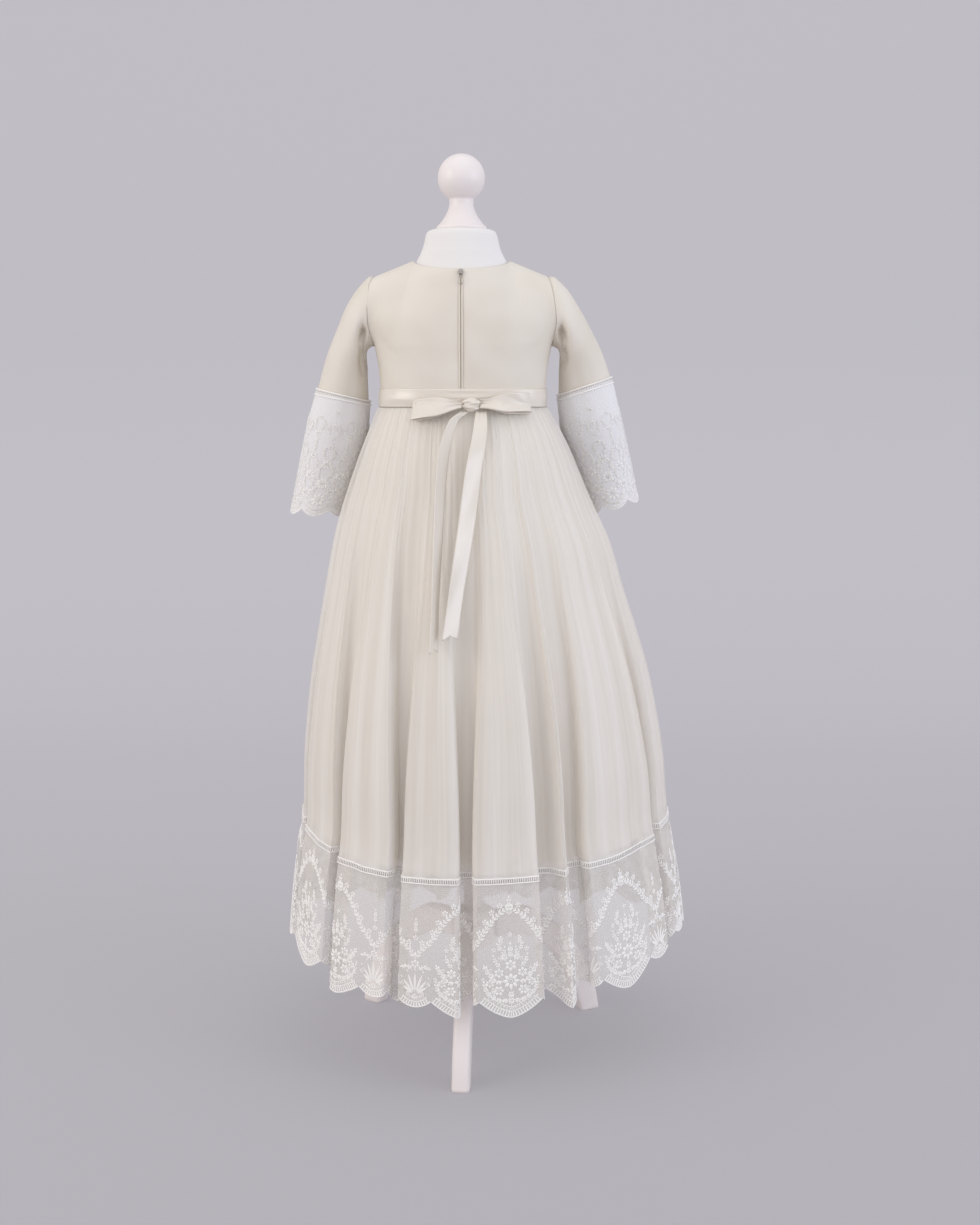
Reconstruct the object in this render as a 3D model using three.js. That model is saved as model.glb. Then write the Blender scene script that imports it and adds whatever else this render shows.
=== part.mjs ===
// A long christening gown on a child's dress form: satin bodice with a centre-back zip, flared sleeves
// with lace cuffs, a gathered net skirt over a lining, a deep scalloped hem lace and a ribbon sash tied
// at the back. Millimetres, +Z up, the gown's back faces -Y. The model is laid out about the form's own
// upright axis and moved at the end, so that the origin is the middle of its footprint.

import * as THREE from "three";
import { mergeVertices } from "three/addons/utils/BufferGeometryUtils.js";

// Driving dimensions.
const SEAM = 0.3; // gap between two pieces that are sewn or rest together
const CLOTH = 1.2; // satin, its lining and its turned edges
const LACE = 1.0;
const RIBBON = 1.0;
const WAIST_Z = 727; // waist seam, at the sash's lower edge
const CHEST_Z = 793; // underarm
const SASH_WIDTH = 20;
const TRIM_WIDTH = 6;
const NECK_HALF = 52; // neckline's half width at the shoulder seams
const FORM_CLEARANCE = 0.9; // between the bodice's inside and the form
const FORM_BOTTOM_Z = 600;
const FORM_TOP_Z = 917;
const GATHERS = 36; // pleats round the waist
const COLUMNS = GATHERS * 4; // columns of the net's grid, four to a gather
const REPEATS = 16; // lace repeats round the hem
const POLE_RADIUS = 12;
const STAND_X = 13; // the stand's middle, right of the form's axis
const FOOT_REACH = 165;
const LEG_WIDTH = 20;
const FIRST_LEG_DEG = -95;

const COLOURS = {
  satin: 0xe9e4d8,
  ribbon: 0xe6dfd4,
  net: 0xe9e6e4,
  lining: 0xe6e0d6,
  lace: 0xf3f0ee,
  steel: 0xa9a7a2,
  zip: 0xd9d1c2,
  jersey: 0xf1f0ee,
  wood: 0xf3ecea,
};

const lerp = (a, b, t) => a + (b - a) * t;
const clamp01 = (t) => Math.min(1, Math.max(0, t));
const smooth = (t) => clamp01(t) ** 2 * (3 - 2 * clamp01(t));
const radians = (degrees) => (degrees * Math.PI) / 180;
const point = (x, y, z) => new THREE.Vector3(x, y, z);

// A table's row at a value of its first column, blended between the two rows beside it.
function between(rows, key, value) {
  const down = rows[0][key] > rows[rows.length - 1][key];
  const order = down ? [...rows].reverse() : rows;
  let i = 0;
  while (i < order.length - 2 && value > order[i + 1][key]) i += 1;
  const [a, b] = [order[i], order[i + 1]];
  const t = clamp01((value - a[key]) / (b[key] - a[key]));
  return Object.fromEntries(Object.keys(a).map((name) => [name, lerp(a[name], b[name], t)]));
}

// Names the columns of a table written as plain rows.
function table(names, rows) {
  return rows.map((row) => Object.fromEntries(names.map((name, i) => [name, row[i]])));
}

const group = new THREE.Group();

function addMesh(name, geometry, colour, roughness = 0.8, metalness = 0) {
  const material = new THREE.MeshStandardMaterial({ color: colour, roughness, metalness });
  const mesh = new THREE.Mesh(geometry, material);
  mesh.name = name;
  group.add(mesh);
  return mesh;
}

// A closed body from corner points and faces: shared corners merged, flat slivers dropped, faces outward.
function closedBody(corners, faces) {
  const flat = faces.flatMap(([a, b, c, d]) => (d === undefined ? [a, b, c] : [a, b, c, a, c, d]));
  const raw = new THREE.BufferGeometry();
  raw.setAttribute("position", new THREE.Float32BufferAttribute(corners.flatMap((p) => p.toArray()), 3));
  raw.setIndex(flat);
  const merged = mergeVertices(raw, 1e-4);
  const index = Array.from(merged.index.array);
  const kept = [];
  for (let i = 0; i < index.length; i += 3) {
    const [a, b, c] = index.slice(i, i + 3);
    if (a !== b && b !== c && c !== a) kept.push([a, b, c]);
  }
  const place = (i) => new THREE.Vector3().fromBufferAttribute(merged.attributes.position, i);
  const volume = kept.reduce((sum, [a, b, c]) => sum + place(a).dot(place(b).cross(place(c))), 0);
  merged.setIndex(kept.flatMap(([a, b, c]) => (volume < 0 ? [a, c, b] : [a, b, c])));
  merged.computeVertexNormals();
  return merged;
}

// A closed body from one of the ready-made geometries, with each of its points moved by a function.
function placed(geometry, place = (p) => p) {
  geometry.deleteAttribute("normal");
  geometry.deleteAttribute("uv");
  const merged = mergeVertices(geometry, 1e-4);
  const position = merged.attributes.position;
  const corners = Array.from({ length: position.count }, (_, i) =>
    place(new THREE.Vector3().fromBufferAttribute(position, i)),
  );
  const index = merged.index.array;
  const faces = Array.from({ length: index.length / 3 }, (_, i) => [...index.slice(3 * i, 3 * i + 3)]);
  return closedBody(corners, faces);
}

// The outward direction at each point of a grid of rows, from its neighbours along and across.
function gridNormals(rows, closed) {
  const count = rows[0].length;
  return rows.map((row, r) =>
    row.map((p, c) => {
      const after = closed ? row[(c + 1) % count] : row[Math.min(c + 1, count - 1)];
      const before = closed ? row[(c + count - 1) % count] : row[Math.max(c - 1, 0)];
      const below = rows[Math.min(r + 1, rows.length - 1)][c];
      const above = rows[Math.max(r - 1, 0)][c];
      return after.clone().sub(before).cross(above.clone().sub(below)).normalize();
    }),
  );
}

// The same grid moved out along its normals by a distance, or in where it is negative.
function moved(rows, distance, closed) {
  const normals = gridNormals(rows, closed);
  return rows.map((row, r) => row.map((p, c) => p.clone().addScaledVector(normals[r][c], distance)));
}

// A cloth wall: its outer grid, the same grid moved in by the cloth's thickness, and its cut edges.
// The panel's keep function holds both faces back from the seams beside it.
function wall(rows, thickness, closed, keep = (p) => p) {
  const inner = moved(rows, -thickness, closed);
  const count = rows[0].length;
  const corners = [...rows.flat(), ...inner.flat()].map(keep);
  const at = (layer, r, c) => layer * rows.length * count + r * count + (c % count);
  const faces = [];
  const lastRow = rows.length - 1;
  const spans = closed ? count : count - 1;
  for (let c = 0; c < spans; c += 1) {
    for (let r = 0; r < lastRow; r += 1) {
      faces.push([at(0, r, c), at(0, r + 1, c), at(0, r + 1, c + 1), at(0, r, c + 1)]);
      faces.push([at(1, r, c), at(1, r, c + 1), at(1, r + 1, c + 1), at(1, r + 1, c)]);
    }
    faces.push([at(0, 0, c), at(0, 0, c + 1), at(1, 0, c + 1), at(1, 0, c)]);
    faces.push([at(0, lastRow, c), at(1, lastRow, c), at(1, lastRow, c + 1), at(0, lastRow, c + 1)]);
  }
  for (let r = 0; !closed && r < lastRow; r += 1) {
    const end = count - 1;
    faces.push([at(0, r, 0), at(1, r, 0), at(1, r + 1, 0), at(0, r + 1, 0)]);
    faces.push([at(0, r, end), at(0, r + 1, end), at(1, r + 1, end), at(1, r, end)]);
  }
  return closedBody(corners, faces);
}

// A solid through closed rings, capped flat at both ends.
function loft(rings) {
  const count = rings[0].length;
  const corners = rings.flat();
  const faces = [];
  for (let r = 0; r < rings.length - 1; r += 1) {
    for (let c = 0; c < count; c += 1) {
      const next = (c + 1) % count;
      faces.push([r * count + c, r * count + next, (r + 1) * count + next, (r + 1) * count + c]);
    }
  }
  for (const [ring, flip] of [[0, true], [rings.length - 1, false]]) {
    const middle = rings[ring].reduce((sum, p) => sum.add(p), point(0, 0, 0)).divideScalar(count);
    corners.push(middle);
    for (let c = 0; c < count; c += 1) {
      const [a, b] = [ring * count + c, ring * count + ((c + 1) % count)];
      faces.push(flip ? [b, a, corners.length - 1] : [a, b, corners.length - 1]);
    }
  }
  return closedBody(corners, faces);
}

// The body's sections below the underarm: half width and depths of a rounded oval about its middle.
const BODY = table(["z", "middle", "half", "back", "front"], [
  [WAIST_Z, 1.0, 91.0, 60, 64],
  [746, 1.3, 91.0, 60, 65],
  [768, 1.4, 92.6, 61, 67],
  [CHEST_Z, 1.5, 97.0, 62, 68],
]);
// The armhole seams seen from behind, from underarm to shoulder.
const ARMHOLE = table(["z", "left", "right"], [
  [CHEST_Z, -95.5, 98.5],
  [802, -97.8, 100.0],
  [818, -101.0, 102.4],
  [836, -101.3, 101.0],
  [858, -99.5, 97.2],
  [868, -94.5, 93.8],
]);
const ARMHOLE_DEPTH = 30; // half the armhole's size from front to back
const SHOULDER_Z = 868; // shoulder point
const NECK_SIDE_Z = 885; // neckline at the shoulder seam
const NECKLINE = { [-1]: { drop: 12, depth: 48 }, 1: { drop: 34, depth: 52 } }; // back (-1) and front (1)
const ROUNDNESS = 2.4; // power of the oval, 2 is an ellipse
const NECK_COLUMNS = 3;
const HALF_COLUMNS = 7; // columns from the middle of a panel to its side
const LOWER_ROWS = [1, 0.62, 0.3, 0]; // from underarm to waist
const UPPER_ROWS = [1, 0.88, 0.75, 0.6, 0.4, 0.2]; // from shoulder towards underarm

const power = (value, exponent) => Math.sign(value) * Math.abs(value) ** exponent;

function armholeX(z, sign) {
  const row = between(ARMHOLE, "z", z);
  return sign < 0 ? -row.left : row.right;
}

// A point of the bodice: side is -1 at the back and 1 at the front, column runs from -HALF_COLUMNS at the
// left to HALF_COLUMNS at the right, up is 0 at the waist, 1 at the underarm and 2 at the top edge.
function bodicePoint(side, column, up, inset = 0) {
  const share = column / HALF_COLUMNS;
  const chest = power(Math.sin((share * Math.PI) / 2), 2 / ROUNDNESS);
  const depthShare = Math.cos((share * Math.PI) / 2) ** (2 / ROUNDNESS);
  if (up <= 1) {
    const row = between(BODY, "z", lerp(WAIST_Z, CHEST_Z, up));
    const depth = (side < 0 ? row.back : row.front) - inset;
    return point(row.middle + chest * (row.half - inset), side * depth * depthShare, row.z);
  }
  const v = up - 1;
  const neck = NECKLINE[side];
  const steps = Math.abs(column);
  const shoulder = (steps - NECK_COLUMNS) / (HALF_COLUMNS - NECK_COLUMNS);
  const angle = (Math.min(steps, NECK_COLUMNS) / NECK_COLUMNS) * (Math.PI / 2);
  const onNeck = steps < NECK_COLUMNS;
  const seamZ = onNeck
    ? NECK_SIDE_Z - neck.drop * Math.cos(angle)
    : lerp(NECK_SIDE_Z, SHOULDER_Z, shoulder);
  const topZ = seamZ - inset;
  const z = lerp(CHEST_Z, topZ, v);
  const edge = armholeX(lerp(CHEST_Z, SHOULDER_Z, v), Math.sign(column)) - inset * 1.8;
  const topX = onNeck ? NECK_HALF * Math.sin(angle) : lerp(NECK_HALF, edge, shoulder);
  const x = lerp(Math.abs(chest) * edge, topX, v ** 1.5) * Math.sign(column);
  const row = BODY[BODY.length - 1];
  const lowY = ((side < 0 ? row.back : row.front) - inset) * depthShare;
  const topY = onNeck ? neck.depth * Math.cos(angle) - inset : SEAM / 2;
  const steep = clamp01(shoulder + 0.5);
  const dome = lerp(1 - v ** 1.6, (1 - v ** 2.2) ** 0.6, steep);
  const bodyY = topY + (lowY - topY) * dome;
  const armY = (ARMHOLE_DEPTH - inset) * Math.sqrt(Math.max(0, 1 - (2 * v - 1) ** 2));
  const y = (bodyY ** 4 + armY ** 4) ** 0.25;
  return point(x + BODY[BODY.length - 1].middle * (1 - v) * (1 - Math.abs(share)), side * y, z);
}

const BODICE_UPS = [...UPPER_ROWS.map((v) => 1 + v), ...LOWER_ROWS];

function bodiceRows(side, columns, inset = 0) {
  return BODICE_UPS.map((up) => columns.map((column) => bodicePoint(side, column, up, inset)));
}

const steps = (from, to) => {
  const direction = Math.sign(to - from);
  return Array.from({ length: Math.abs(to - from) + 1 }, (_, i) => from + i * direction);
};

// Bodice: front on the fold, and two backs that stop short of the centre for the zip.
const ZIP_HALF = 1.0;
const SIDE_GAP = SEAM / 2;
const inFront = (p) => point(p.x, Math.max(p.y, SIDE_GAP), p.z);
const behindLeft = (p) => point(Math.min(p.x, -ZIP_HALF), Math.min(p.y, -SIDE_GAP), p.z);
const behindRight = (p) => point(Math.max(p.x, ZIP_HALF), Math.min(p.y, -SIDE_GAP), p.z);

const frontRows = bodiceRows(1, steps(HALF_COLUMNS, -HALF_COLUMNS));
const backLeftRows = bodiceRows(-1, steps(-HALF_COLUMNS, 0));
const backRightRows = bodiceRows(-1, steps(0, HALF_COLUMNS));
addMesh("bodice_front", wall(frontRows, CLOTH, false, inFront), COLOURS.satin);
addMesh("bodice_back_left", wall(backLeftRows, CLOTH, false, behindLeft), COLOURS.satin);
addMesh("bodice_back_right", wall(backRightRows, CLOTH, false, behindRight), COLOURS.satin);

// Dress form: the bodice's own shape a little smaller, hips below and a neck above, one turned body.
const FORM_INSET = CLOTH + FORM_CLEARANCE;
const WAIST_ROOM = 2.6; // the form is slimmer here, where the skirt's layers are sewn in
const HIPS = table(["z", "half", "back", "front"], [
  [715, 84, 54, 58],
  [690, 84, 54, 59],
  [655, 90, 60, 64],
  [625, 90, 60, 62],
  [608, 84, 54, 56],
  [FORM_BOTTOM_Z, 70, 42, 44],
]);
const NECK = table(["z", "half", "depth"], [
  [FORM_TOP_Z, 33.0, 32],
  [915, 37.6, 36],
  [910, 39.2, 37.5],
  [899, 41.8, 40],
  [889, 46.0, 43],
]);

function formRing(rowOf) {
  const back = steps(-HALF_COLUMNS, HALF_COLUMNS).map((column) => rowOf(-1, column));
  const front = steps(HALF_COLUMNS, -HALF_COLUMNS).map((column) => rowOf(1, column));
  return [...back, ...front];
}

function neckPoint(side, column, row) {
  const angle = (Math.min(Math.abs(column), NECK_COLUMNS) / NECK_COLUMNS) * (Math.PI / 2);
  const x = row.half * Math.sin(angle) * Math.sign(column);
  return point(x, side * row.depth * Math.cos(angle), row.z);
}

// The neck's foot lies just inside the neckline's own curve.
function neckFootPoint(side, column) {
  const angle = (Math.min(Math.abs(column), NECK_COLUMNS) / NECK_COLUMNS) * (Math.PI / 2);
  const { drop, depth } = NECKLINE[side];
  const z = NECK_SIDE_Z - drop * Math.cos(angle) - FORM_INSET;
  const x = (NECK_HALF - FORM_INSET) * Math.sin(angle) * Math.sign(column);
  return point(x, side * (depth - FORM_INSET - 1) * Math.cos(angle), z);
}

function hipPoint(side, column, row) {
  const share = ((column / HALF_COLUMNS) * Math.PI) / 2;
  const depth = side < 0 ? row.back : row.front;
  const x = row.half * power(Math.sin(share), 2 / ROUNDNESS);
  return point(1 + x, side * depth * Math.cos(share) ** (2 / ROUNDNESS), row.z);
}

const formRings = [
  ...NECK.map((row) => formRing((side, column) => neckPoint(side, column, row))),
  formRing(neckFootPoint),
  ...BODICE_UPS.filter((up) => up > 0).map((up) =>
    formRing((side, column) => bodicePoint(side, column, up, FORM_INSET)),
  ),
  formRing((side, column) => bodicePoint(side, column, 0, FORM_INSET + WAIST_ROOM)),
  ...HIPS.map((row) => formRing((side, column) => hipPoint(side, column, row))),
];
addMesh("dress_form", loft(formRings), COLOURS.jersey, 0.9);

// Turned finial: a flared cap on the neck, a waist and a ball.
const BALL = { z: 972.2, radius: 25.6 };
const FINIAL = [
  [26.5, FORM_TOP_Z + SEAM],
  [27.2, 918.6],
  [26.6, 921.5],
  [22.5, 926.5],
  [17.5, 933.5],
  [14.2, 940],
  [13.0, 945],
];

function finialProfile() {
  const profile = [new THREE.Vector2(0, FINIAL[0][1]), ...FINIAL.map(([r, z]) => new THREE.Vector2(r, z))];
  const start = Math.acos(13.6 / BALL.radius);
  const arcs = 9;
  for (let i = 0; i <= arcs; i += 1) {
    const angle = lerp(-start, Math.PI / 2, i / arcs);
    const radius = i === arcs ? 0 : BALL.radius * Math.cos(angle);
    profile.push(new THREE.Vector2(radius, BALL.z + BALL.radius * Math.sin(angle)));
  }
  return profile;
}

// A turned piece about the upright axis, closed where it meets the axis.
function turned(profile, sides) {
  const geometry = new THREE.LatheGeometry(profile, sides);
  geometry.rotateX(Math.PI / 2);
  return placed(geometry);
}

addMesh("finial", turned(finialProfile(), 22), COLOURS.wood, 0.55);

// Sash: the ribbon lies on the bodice's lower edge, all the way round.
function bodyRing(z, out, count) {
  const row = between(BODY, "z", z);
  return Array.from({ length: count }, (_, i) => {
    const angle = (i / count) * 2 * Math.PI;
    const [c, s] = [Math.cos(angle), Math.sin(angle)];
    const depth = s < 0 ? row.back : row.front;
    const x = row.middle + (row.half + out) * power(c, 2 / ROUNDNESS);
    return point(x, (depth + out) * power(s, 2 / ROUNDNESS), z);
  });
}

const SASH_OUT = SEAM + RIBBON + 0.2;
const sashRows = [WAIST_Z + SASH_WIDTH, WAIST_Z].map((z) =>
  bodyRing(z, SASH_OUT, 48),
);
addMesh("sash", wall(sashRows, RIBBON, true), COLOURS.ribbon, 0.4);

// Skirt: the outline seen from behind (left and right of the axis) and its depth at the back and front.
const SKIRT = table(["z", "left", "right", "back", "front"], [
  [WAIST_Z, 90, 92, 61, 65],
  [700, 101, 107.5, 79, 82],
  [675, 111, 120, 92, 95],
  [646, 121.5, 132.5, 104, 107],
  [618, 131, 145, 113, 117],
  [579, 141.5, 163, 125, 129],
  [530, 151, 177.5, 137, 141],
  [480, 160, 194, 148, 151],
  [430, 168.5, 208.5, 157, 160],
  [380, 174.5, 219, 163, 166],
  [330, 178.5, 227, 168, 171],
  [280, 180, 231, 171, 174],
  [230, 188, 240, 175, 178],
  [180, 194, 248.5, 178, 181],
  [80, 203, 260, 182, 185],
]);
// The valleys between the skirt's large folds: where each runs, half its width and how deep it is.
const VALLEYS = table(["degrees", "half", "depth"], [
  [-163, 6, 18],
  [-137, 7, 22],
  [-111.5, 8, 27],
  [-88.5, 7.5, 25],
  [-68.5, 5, 22],
  [-57.5, 7, 20],
  [-24, 8, 22],
  [0, 7, 18],
  [25, 7.5, 22],
  [50, 7, 25],
  [74, 8, 26],
  [99, 7, 23],
  [127, 8, 26],
  [153, 7, 21],
]);
const FOLD_START_Z = 690; // the valleys deepen from here down
const FOLD_FULL_Z = 250;
const GATHER_RISE = 2.2; // half the gathers' depth at the waist
const HEM = { back: 104, front: 108, side: 38 }; // lowest hem height, and its lift at the sides
const TRIM = { back: 240, front: 246, side: 28 };
const BIG_SCALLOP = 18; // depth of the keel-shaped scallop
const SMALL_SCALLOP = 7;
const BIG_SHARE = 0.66; // share of the repeat that the large scallop takes
const LINING_INSET = 13; // how far inside the net's outline the lining hangs below the hips
const LINING_FOLD = 0.7; // share of the net's valleys that the lining follows

const wrapped = (degrees) => ((((degrees + 180) % 360) + 360) % 360) - 180;

// How deep the valleys run at an angle, at their full size.
function valleyDepth(degrees) {
  return VALLEYS.reduce((sum, valley) => {
    const away = Math.abs(wrapped(degrees - valley.degrees)) / valley.half;
    return sum + (away < 1 ? valley.depth * Math.cos((away * Math.PI) / 2) ** 2 : 0);
  }, 0);
}

const foldShare = (z) => smooth((FOLD_START_Z - z) / (FOLD_START_Z - FOLD_FULL_Z)) ** 0.8;

// A point of the skirt at an angle and a height, moved out from its plain oval.
function skirtPoint(degrees, z, out) {
  const row = between(SKIRT, "z", z);
  const [c, s] = [Math.cos(radians(degrees)), Math.sin(radians(degrees))];
  const exponent = 2 / lerp(ROUNDNESS, 2, clamp01((WAIST_Z - z) / 90));
  const x = ((c < 0 ? row.left : row.right) + out) * power(c, exponent);
  return point(x, ((s < 0 ? row.back : row.front) + out) * power(s, exponent), z);
}

function edgeHeight(edge, degrees) {
  const s = Math.sin(radians(degrees));
  const middle = lerp(edge.back, edge.front, (s + 1) / 2);
  return middle + edge.side * (1 - s * s) ** 1.5;
}

// The hem's cloth is spread evenly along the folded hem, so each column stands at its own angle.
function columnAngles(count) {
  const fine = 1440;
  const hemPoint = (i) => {
    const degrees = (i / fine) * 360 - 180;
    return skirtPoint(degrees, 200, -valleyDepth(degrees));
  };
  const run = [0];
  for (let i = 1; i <= fine; i += 1) run.push(run[i - 1] + hemPoint(i).distanceTo(hemPoint(i - 1)));
  return Array.from({ length: count }, (_, k) => {
    const target = (k / count) * run[fine];
    let i = 1;
    while (run[i] < target) i += 1;
    const share = (target - run[i - 1]) / (run[i] - run[i - 1]);
    return ((i - 1 + share) / fine) * 360 - 180;
  });
}

const netAngles = columnAngles(COLUMNS);

// The net's surface: gathers fade from the waist down as the large folds grow.
function netPoint(column, z) {
  const degrees = netAngles[column];
  const gather = [0, 1, 0, -1][column % 4];
  const fade = 1 - 0.75 * smooth((WAIST_Z - z) / (WAIST_Z - 420));
  const growth = Math.min(1, 0.6 + (WAIST_Z - z) / 60);
  const out = gather * GATHER_RISE * fade * growth - valleyDepth(degrees) * foldShare(z);
  return skirtPoint(degrees, z, out + GATHER_RISE + 0.2);
}

// The scalloped edge below the hem's height: a keel, a cusp, a small arc and a cusp in each repeat.
function scallopDrop(column) {
  const share = ((column * REPEATS) / COLUMNS) % 1;
  if (share < BIG_SHARE) {
    const across = Math.abs(share / BIG_SHARE - 0.5) * 2;
    return BIG_SCALLOP * (1 - across ** 1.6);
  }
  const across = ((share - BIG_SHARE) / (1 - BIG_SHARE) - 0.5) * 2;
  return SMALL_SCALLOP * (1 - across * across);
}

const NET_LEVELS = [WAIST_Z - SEAM, 700, 650, 570, 470, 360];
const netColumns = steps(0, COLUMNS - 1);
const netRows = [
  ...NET_LEVELS.map((z) => netColumns.map((column) => netPoint(column, z))),
  netColumns.map((column) => {
    const z = edgeHeight(TRIM, netAngles[column]) + TRIM_WIDTH / 2 + SEAM;
    return netPoint(column, z);
  }),
];
addMesh("skirt_net", wall(netRows, LACE, true), COLOURS.net);

const trimRows = [TRIM_WIDTH / 2, -TRIM_WIDTH / 2].map((rise) =>
  netColumns.map((column) => netPoint(column, edgeHeight(TRIM, netAngles[column]) + rise)),
);
addMesh("hem_trim", wall(trimRows, LACE, true), COLOURS.lace);

const laceRows = [0, 1].map((share) =>
  netColumns.map((column) => {
    const top = edgeHeight(TRIM, netAngles[column]) - TRIM_WIDTH / 2 - SEAM;
    const hem = edgeHeight(HEM, netAngles[column]) - scallopDrop(column) + SMALL_SCALLOP;
    return netPoint(column, lerp(top, hem, share));
  }),
);
addMesh("hem_lace", wall(laceRows, LACE, true), COLOURS.lace);

// Lining: a plainer flared tube inside the net, with the same large folds less deep, to above the lace.
const LINING_COLUMNS = 48;
const LINING_LEVELS = [WAIST_Z - SEAM, 700, 640, 540, 400, 250];
const liningRows = LINING_LEVELS.map((z) =>
  Array.from({ length: LINING_COLUMNS }, (_, i) => {
    const degrees = (i / LINING_COLUMNS) * 360 - 180;
    const nearby = [-3, 0, 3].map((turn) => valleyDepth(degrees + turn));
    const valley = Math.max(...nearby) * foldShare(z) * LINING_FOLD;
    return skirtPoint(degrees, z, -valley - lerp(LACE + SEAM, LINING_INSET, clamp01((WAIST_Z - z) / 150)));
  }),
);
addMesh("skirt_lining", wall(liningRows, CLOTH, true), COLOURS.lining);

// Sleeves, one row for each section from the armhole to the cuff's end: where the outer and inner edges
// lie (across, height), how far forward the section's middle is and half its depth.
const SLEEVE_NAMES = ["outer", "outerZ", "inner", "innerZ", "forward", "half"];
const SLEEVES = {
  left: table(SLEEVE_NAMES, [
    [-101.0, SHOULDER_Z, -99.0, CHEST_Z, 0, ARMHOLE_DEPTH],
    [-112, 857, -104.5, 788, 2, 33],
    [-125, 839, -105.5, 781, 5, 35],
    [-138, 811, -105, 768, 10, 35],
    [-150, 783, -105, 752, 15, 34],
    [-162, 744, -105, 731, 22, 32],
    [-172, 713, -108, 700, 30, 32],
    [-187.5, 651, -123, 648, 48, 32],
    [-197.4, 609, -139, 606, 60, 33],
  ]),
  right: table(SLEEVE_NAMES, [
    [101.0, SHOULDER_Z, 101.0, CHEST_Z, 0, ARMHOLE_DEPTH],
    [114, 856, 106.5, 789, 2, 33],
    [128, 836, 108, 783, 5, 35],
    [142, 812, 108, 774, 10, 35],
    [154, 789, 107.5, 763, 15, 34],
    [166, 757, 108, 737, 22, 32],
    [176, 719, 112, 705, 30, 32],
    [190, 667, 131, 655, 52, 32],
    [201, 622, 149, 606, 66, 32],
  ]),
};
const SLEEVE_COLUMNS = 18;
const TRIM_ROW = 5; // the section at which the cuff's trim lies
const CUFF_SCALLOP = 8;
const CUFF_SCALLOPS = 6;
// The armpit's folds behind and before the arm: share of the sleeve, degrees round it, depth and width.
const ARMPIT_FOLDS = table(["row", "degrees", "depth", "spread"], [
  [1.3, -62, 6.5, 26],
  [2.6, -35, 4.0, 22],
  [1.6, 70, 5.5, 26],
]);

function sleevePoint(name, row, turn) {
  const rows = SLEEVES[name];
  const low = Math.min(Math.floor(row), rows.length - 2);
  const [a, b] = [rows[low], rows[low + 1]];
  const at = (key) => lerp(a[key], b[key], row - low);
  const sign = name === "left" ? -1 : 1;
  // The first column faces +X in both sleeves, so that both grids run the same way round.
  const [from, to] = sign < 0 ? ["outer", "inner"] : ["inner", "outer"];
  const angle = turn * 2 * Math.PI;
  const [c, s] = [Math.cos(angle), Math.sin(angle)];
  const middle = point((at("outer") + at("inner")) / 2, at("forward"), (at("outerZ") + at("innerZ")) / 2);
  const half = point((at(to) - at(from)) / 2, 0, (at(`${to}Z`) - at(`${from}Z`)) / 2);
  const dent = ARMPIT_FOLDS.reduce((sum, fold) => {
    const round = sign < 0 ? fold.degrees : 180 - fold.degrees;
    const away = wrapped((angle * 180) / Math.PI - round) / fold.spread;
    return sum + fold.depth * Math.exp(-(away ** 2) - ((row - fold.row) / 0.8) ** 2);
  }, 0);
  const pull = 1 - (dent * smooth(row)) / at("half");
  const p = middle.addScaledVector(half, c * pull).add(point(0, at("half") * s * pull, 0));
  if (row > 0) return p;
  return point(sign * (armholeX(p.z, sign) + SEAM), p.y, p.z);
}

const sleeveRing = (name, row, count) =>
  Array.from({ length: count }, (_, i) => sleevePoint(name, row, i / count));

const CUFF_COLUMNS = CUFF_SCALLOPS * 4;

for (const [name, rows] of Object.entries(SLEEVES)) {
  const last = rows.length - 1;
  const sections = [...steps(0, last - 1), last - 0.12];
  const rings = sections.map((row) => sleeveRing(name, row, SLEEVE_COLUMNS));
  const sign = name === "left" ? -1 : 1;
  const besideBodice = (p) => {
    const x = Math.max(Math.abs(p.x), armholeX(p.z, sign) + SEAM);
    return point(sign * x, p.y, p.z);
  };
  addMesh(`sleeve_${name}`, wall(rings, CLOTH, true, besideBodice), COLOURS.satin);

  // The trim and the lace lie on the sleeve: its own rings moved out.
  const trim = [TRIM_ROW - 0.1, TRIM_ROW + 0.1].map((row) => sleeveRing(name, row, SLEEVE_COLUMNS));
  const OVER = SEAM + LACE;
  addMesh(`sleeve_trim_${name}`, wall(moved(trim, OVER, true), LACE, true), COLOURS.lace);

  const lace = [TRIM_ROW + 0.14, TRIM_ROW + 1, TRIM_ROW + 2, last - 0.14].map((row) =>
    sleeveRing(name, row, CUFF_COLUMNS),
  );
  const laceOut = moved(lace, OVER + 0.3, true);
  const edge = laceOut[3].map((p, i) => {
    const share = (i % 4) / 4;
    const along = p.clone().sub(laceOut[2][i]).normalize();
    return p.clone().addScaledVector(along, 3 + CUFF_SCALLOP * (1 - (2 * share - 1) ** 2));
  });
  addMesh(`cuff_lace_${name}`, wall([...laceOut, edge], LACE, true), COLOURS.lace);
}

// How far behind the axis the sash or the skirt reaches at a place seen from behind, near that height.
function backReach(x, z) {
  const levels = [z - 4, z, z + 4].map((level) => {
    if (level >= WAIST_Z) {
      const row = between(BODY, "z", level);
      const across = clamp01(Math.abs(x - row.middle) / (row.half + SASH_OUT));
      return (row.back + SASH_OUT) * (1 - across ** ROUNDNESS) ** (1 / ROUNDNESS);
    }
    const row = between(SKIRT, "z", level);
    const across = Math.max(-0.99, Math.min(0.99, x / (x < 0 ? row.left : row.right)));
    const degrees = -90 + (Math.asin(across) * 180) / Math.PI;
    const out = 2 * GATHER_RISE + 0.4;
    return -skirtPoint(degrees, level, out).y;
  });
  return Math.max(...levels);
}

// Bow: a knot, two loops and two tails of the sash's ribbon.
const KNOT = { x: 11, z: 730, half: point(9.5, 5, 7.5) };
const RIBBON_HALF = SASH_WIDTH / 2;
const LOOP_LENGTH = 53;
const LOOP_HALF_GAP = 5.5; // half the space inside a loop
const LOOP_COLUMNS = 16;

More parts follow.
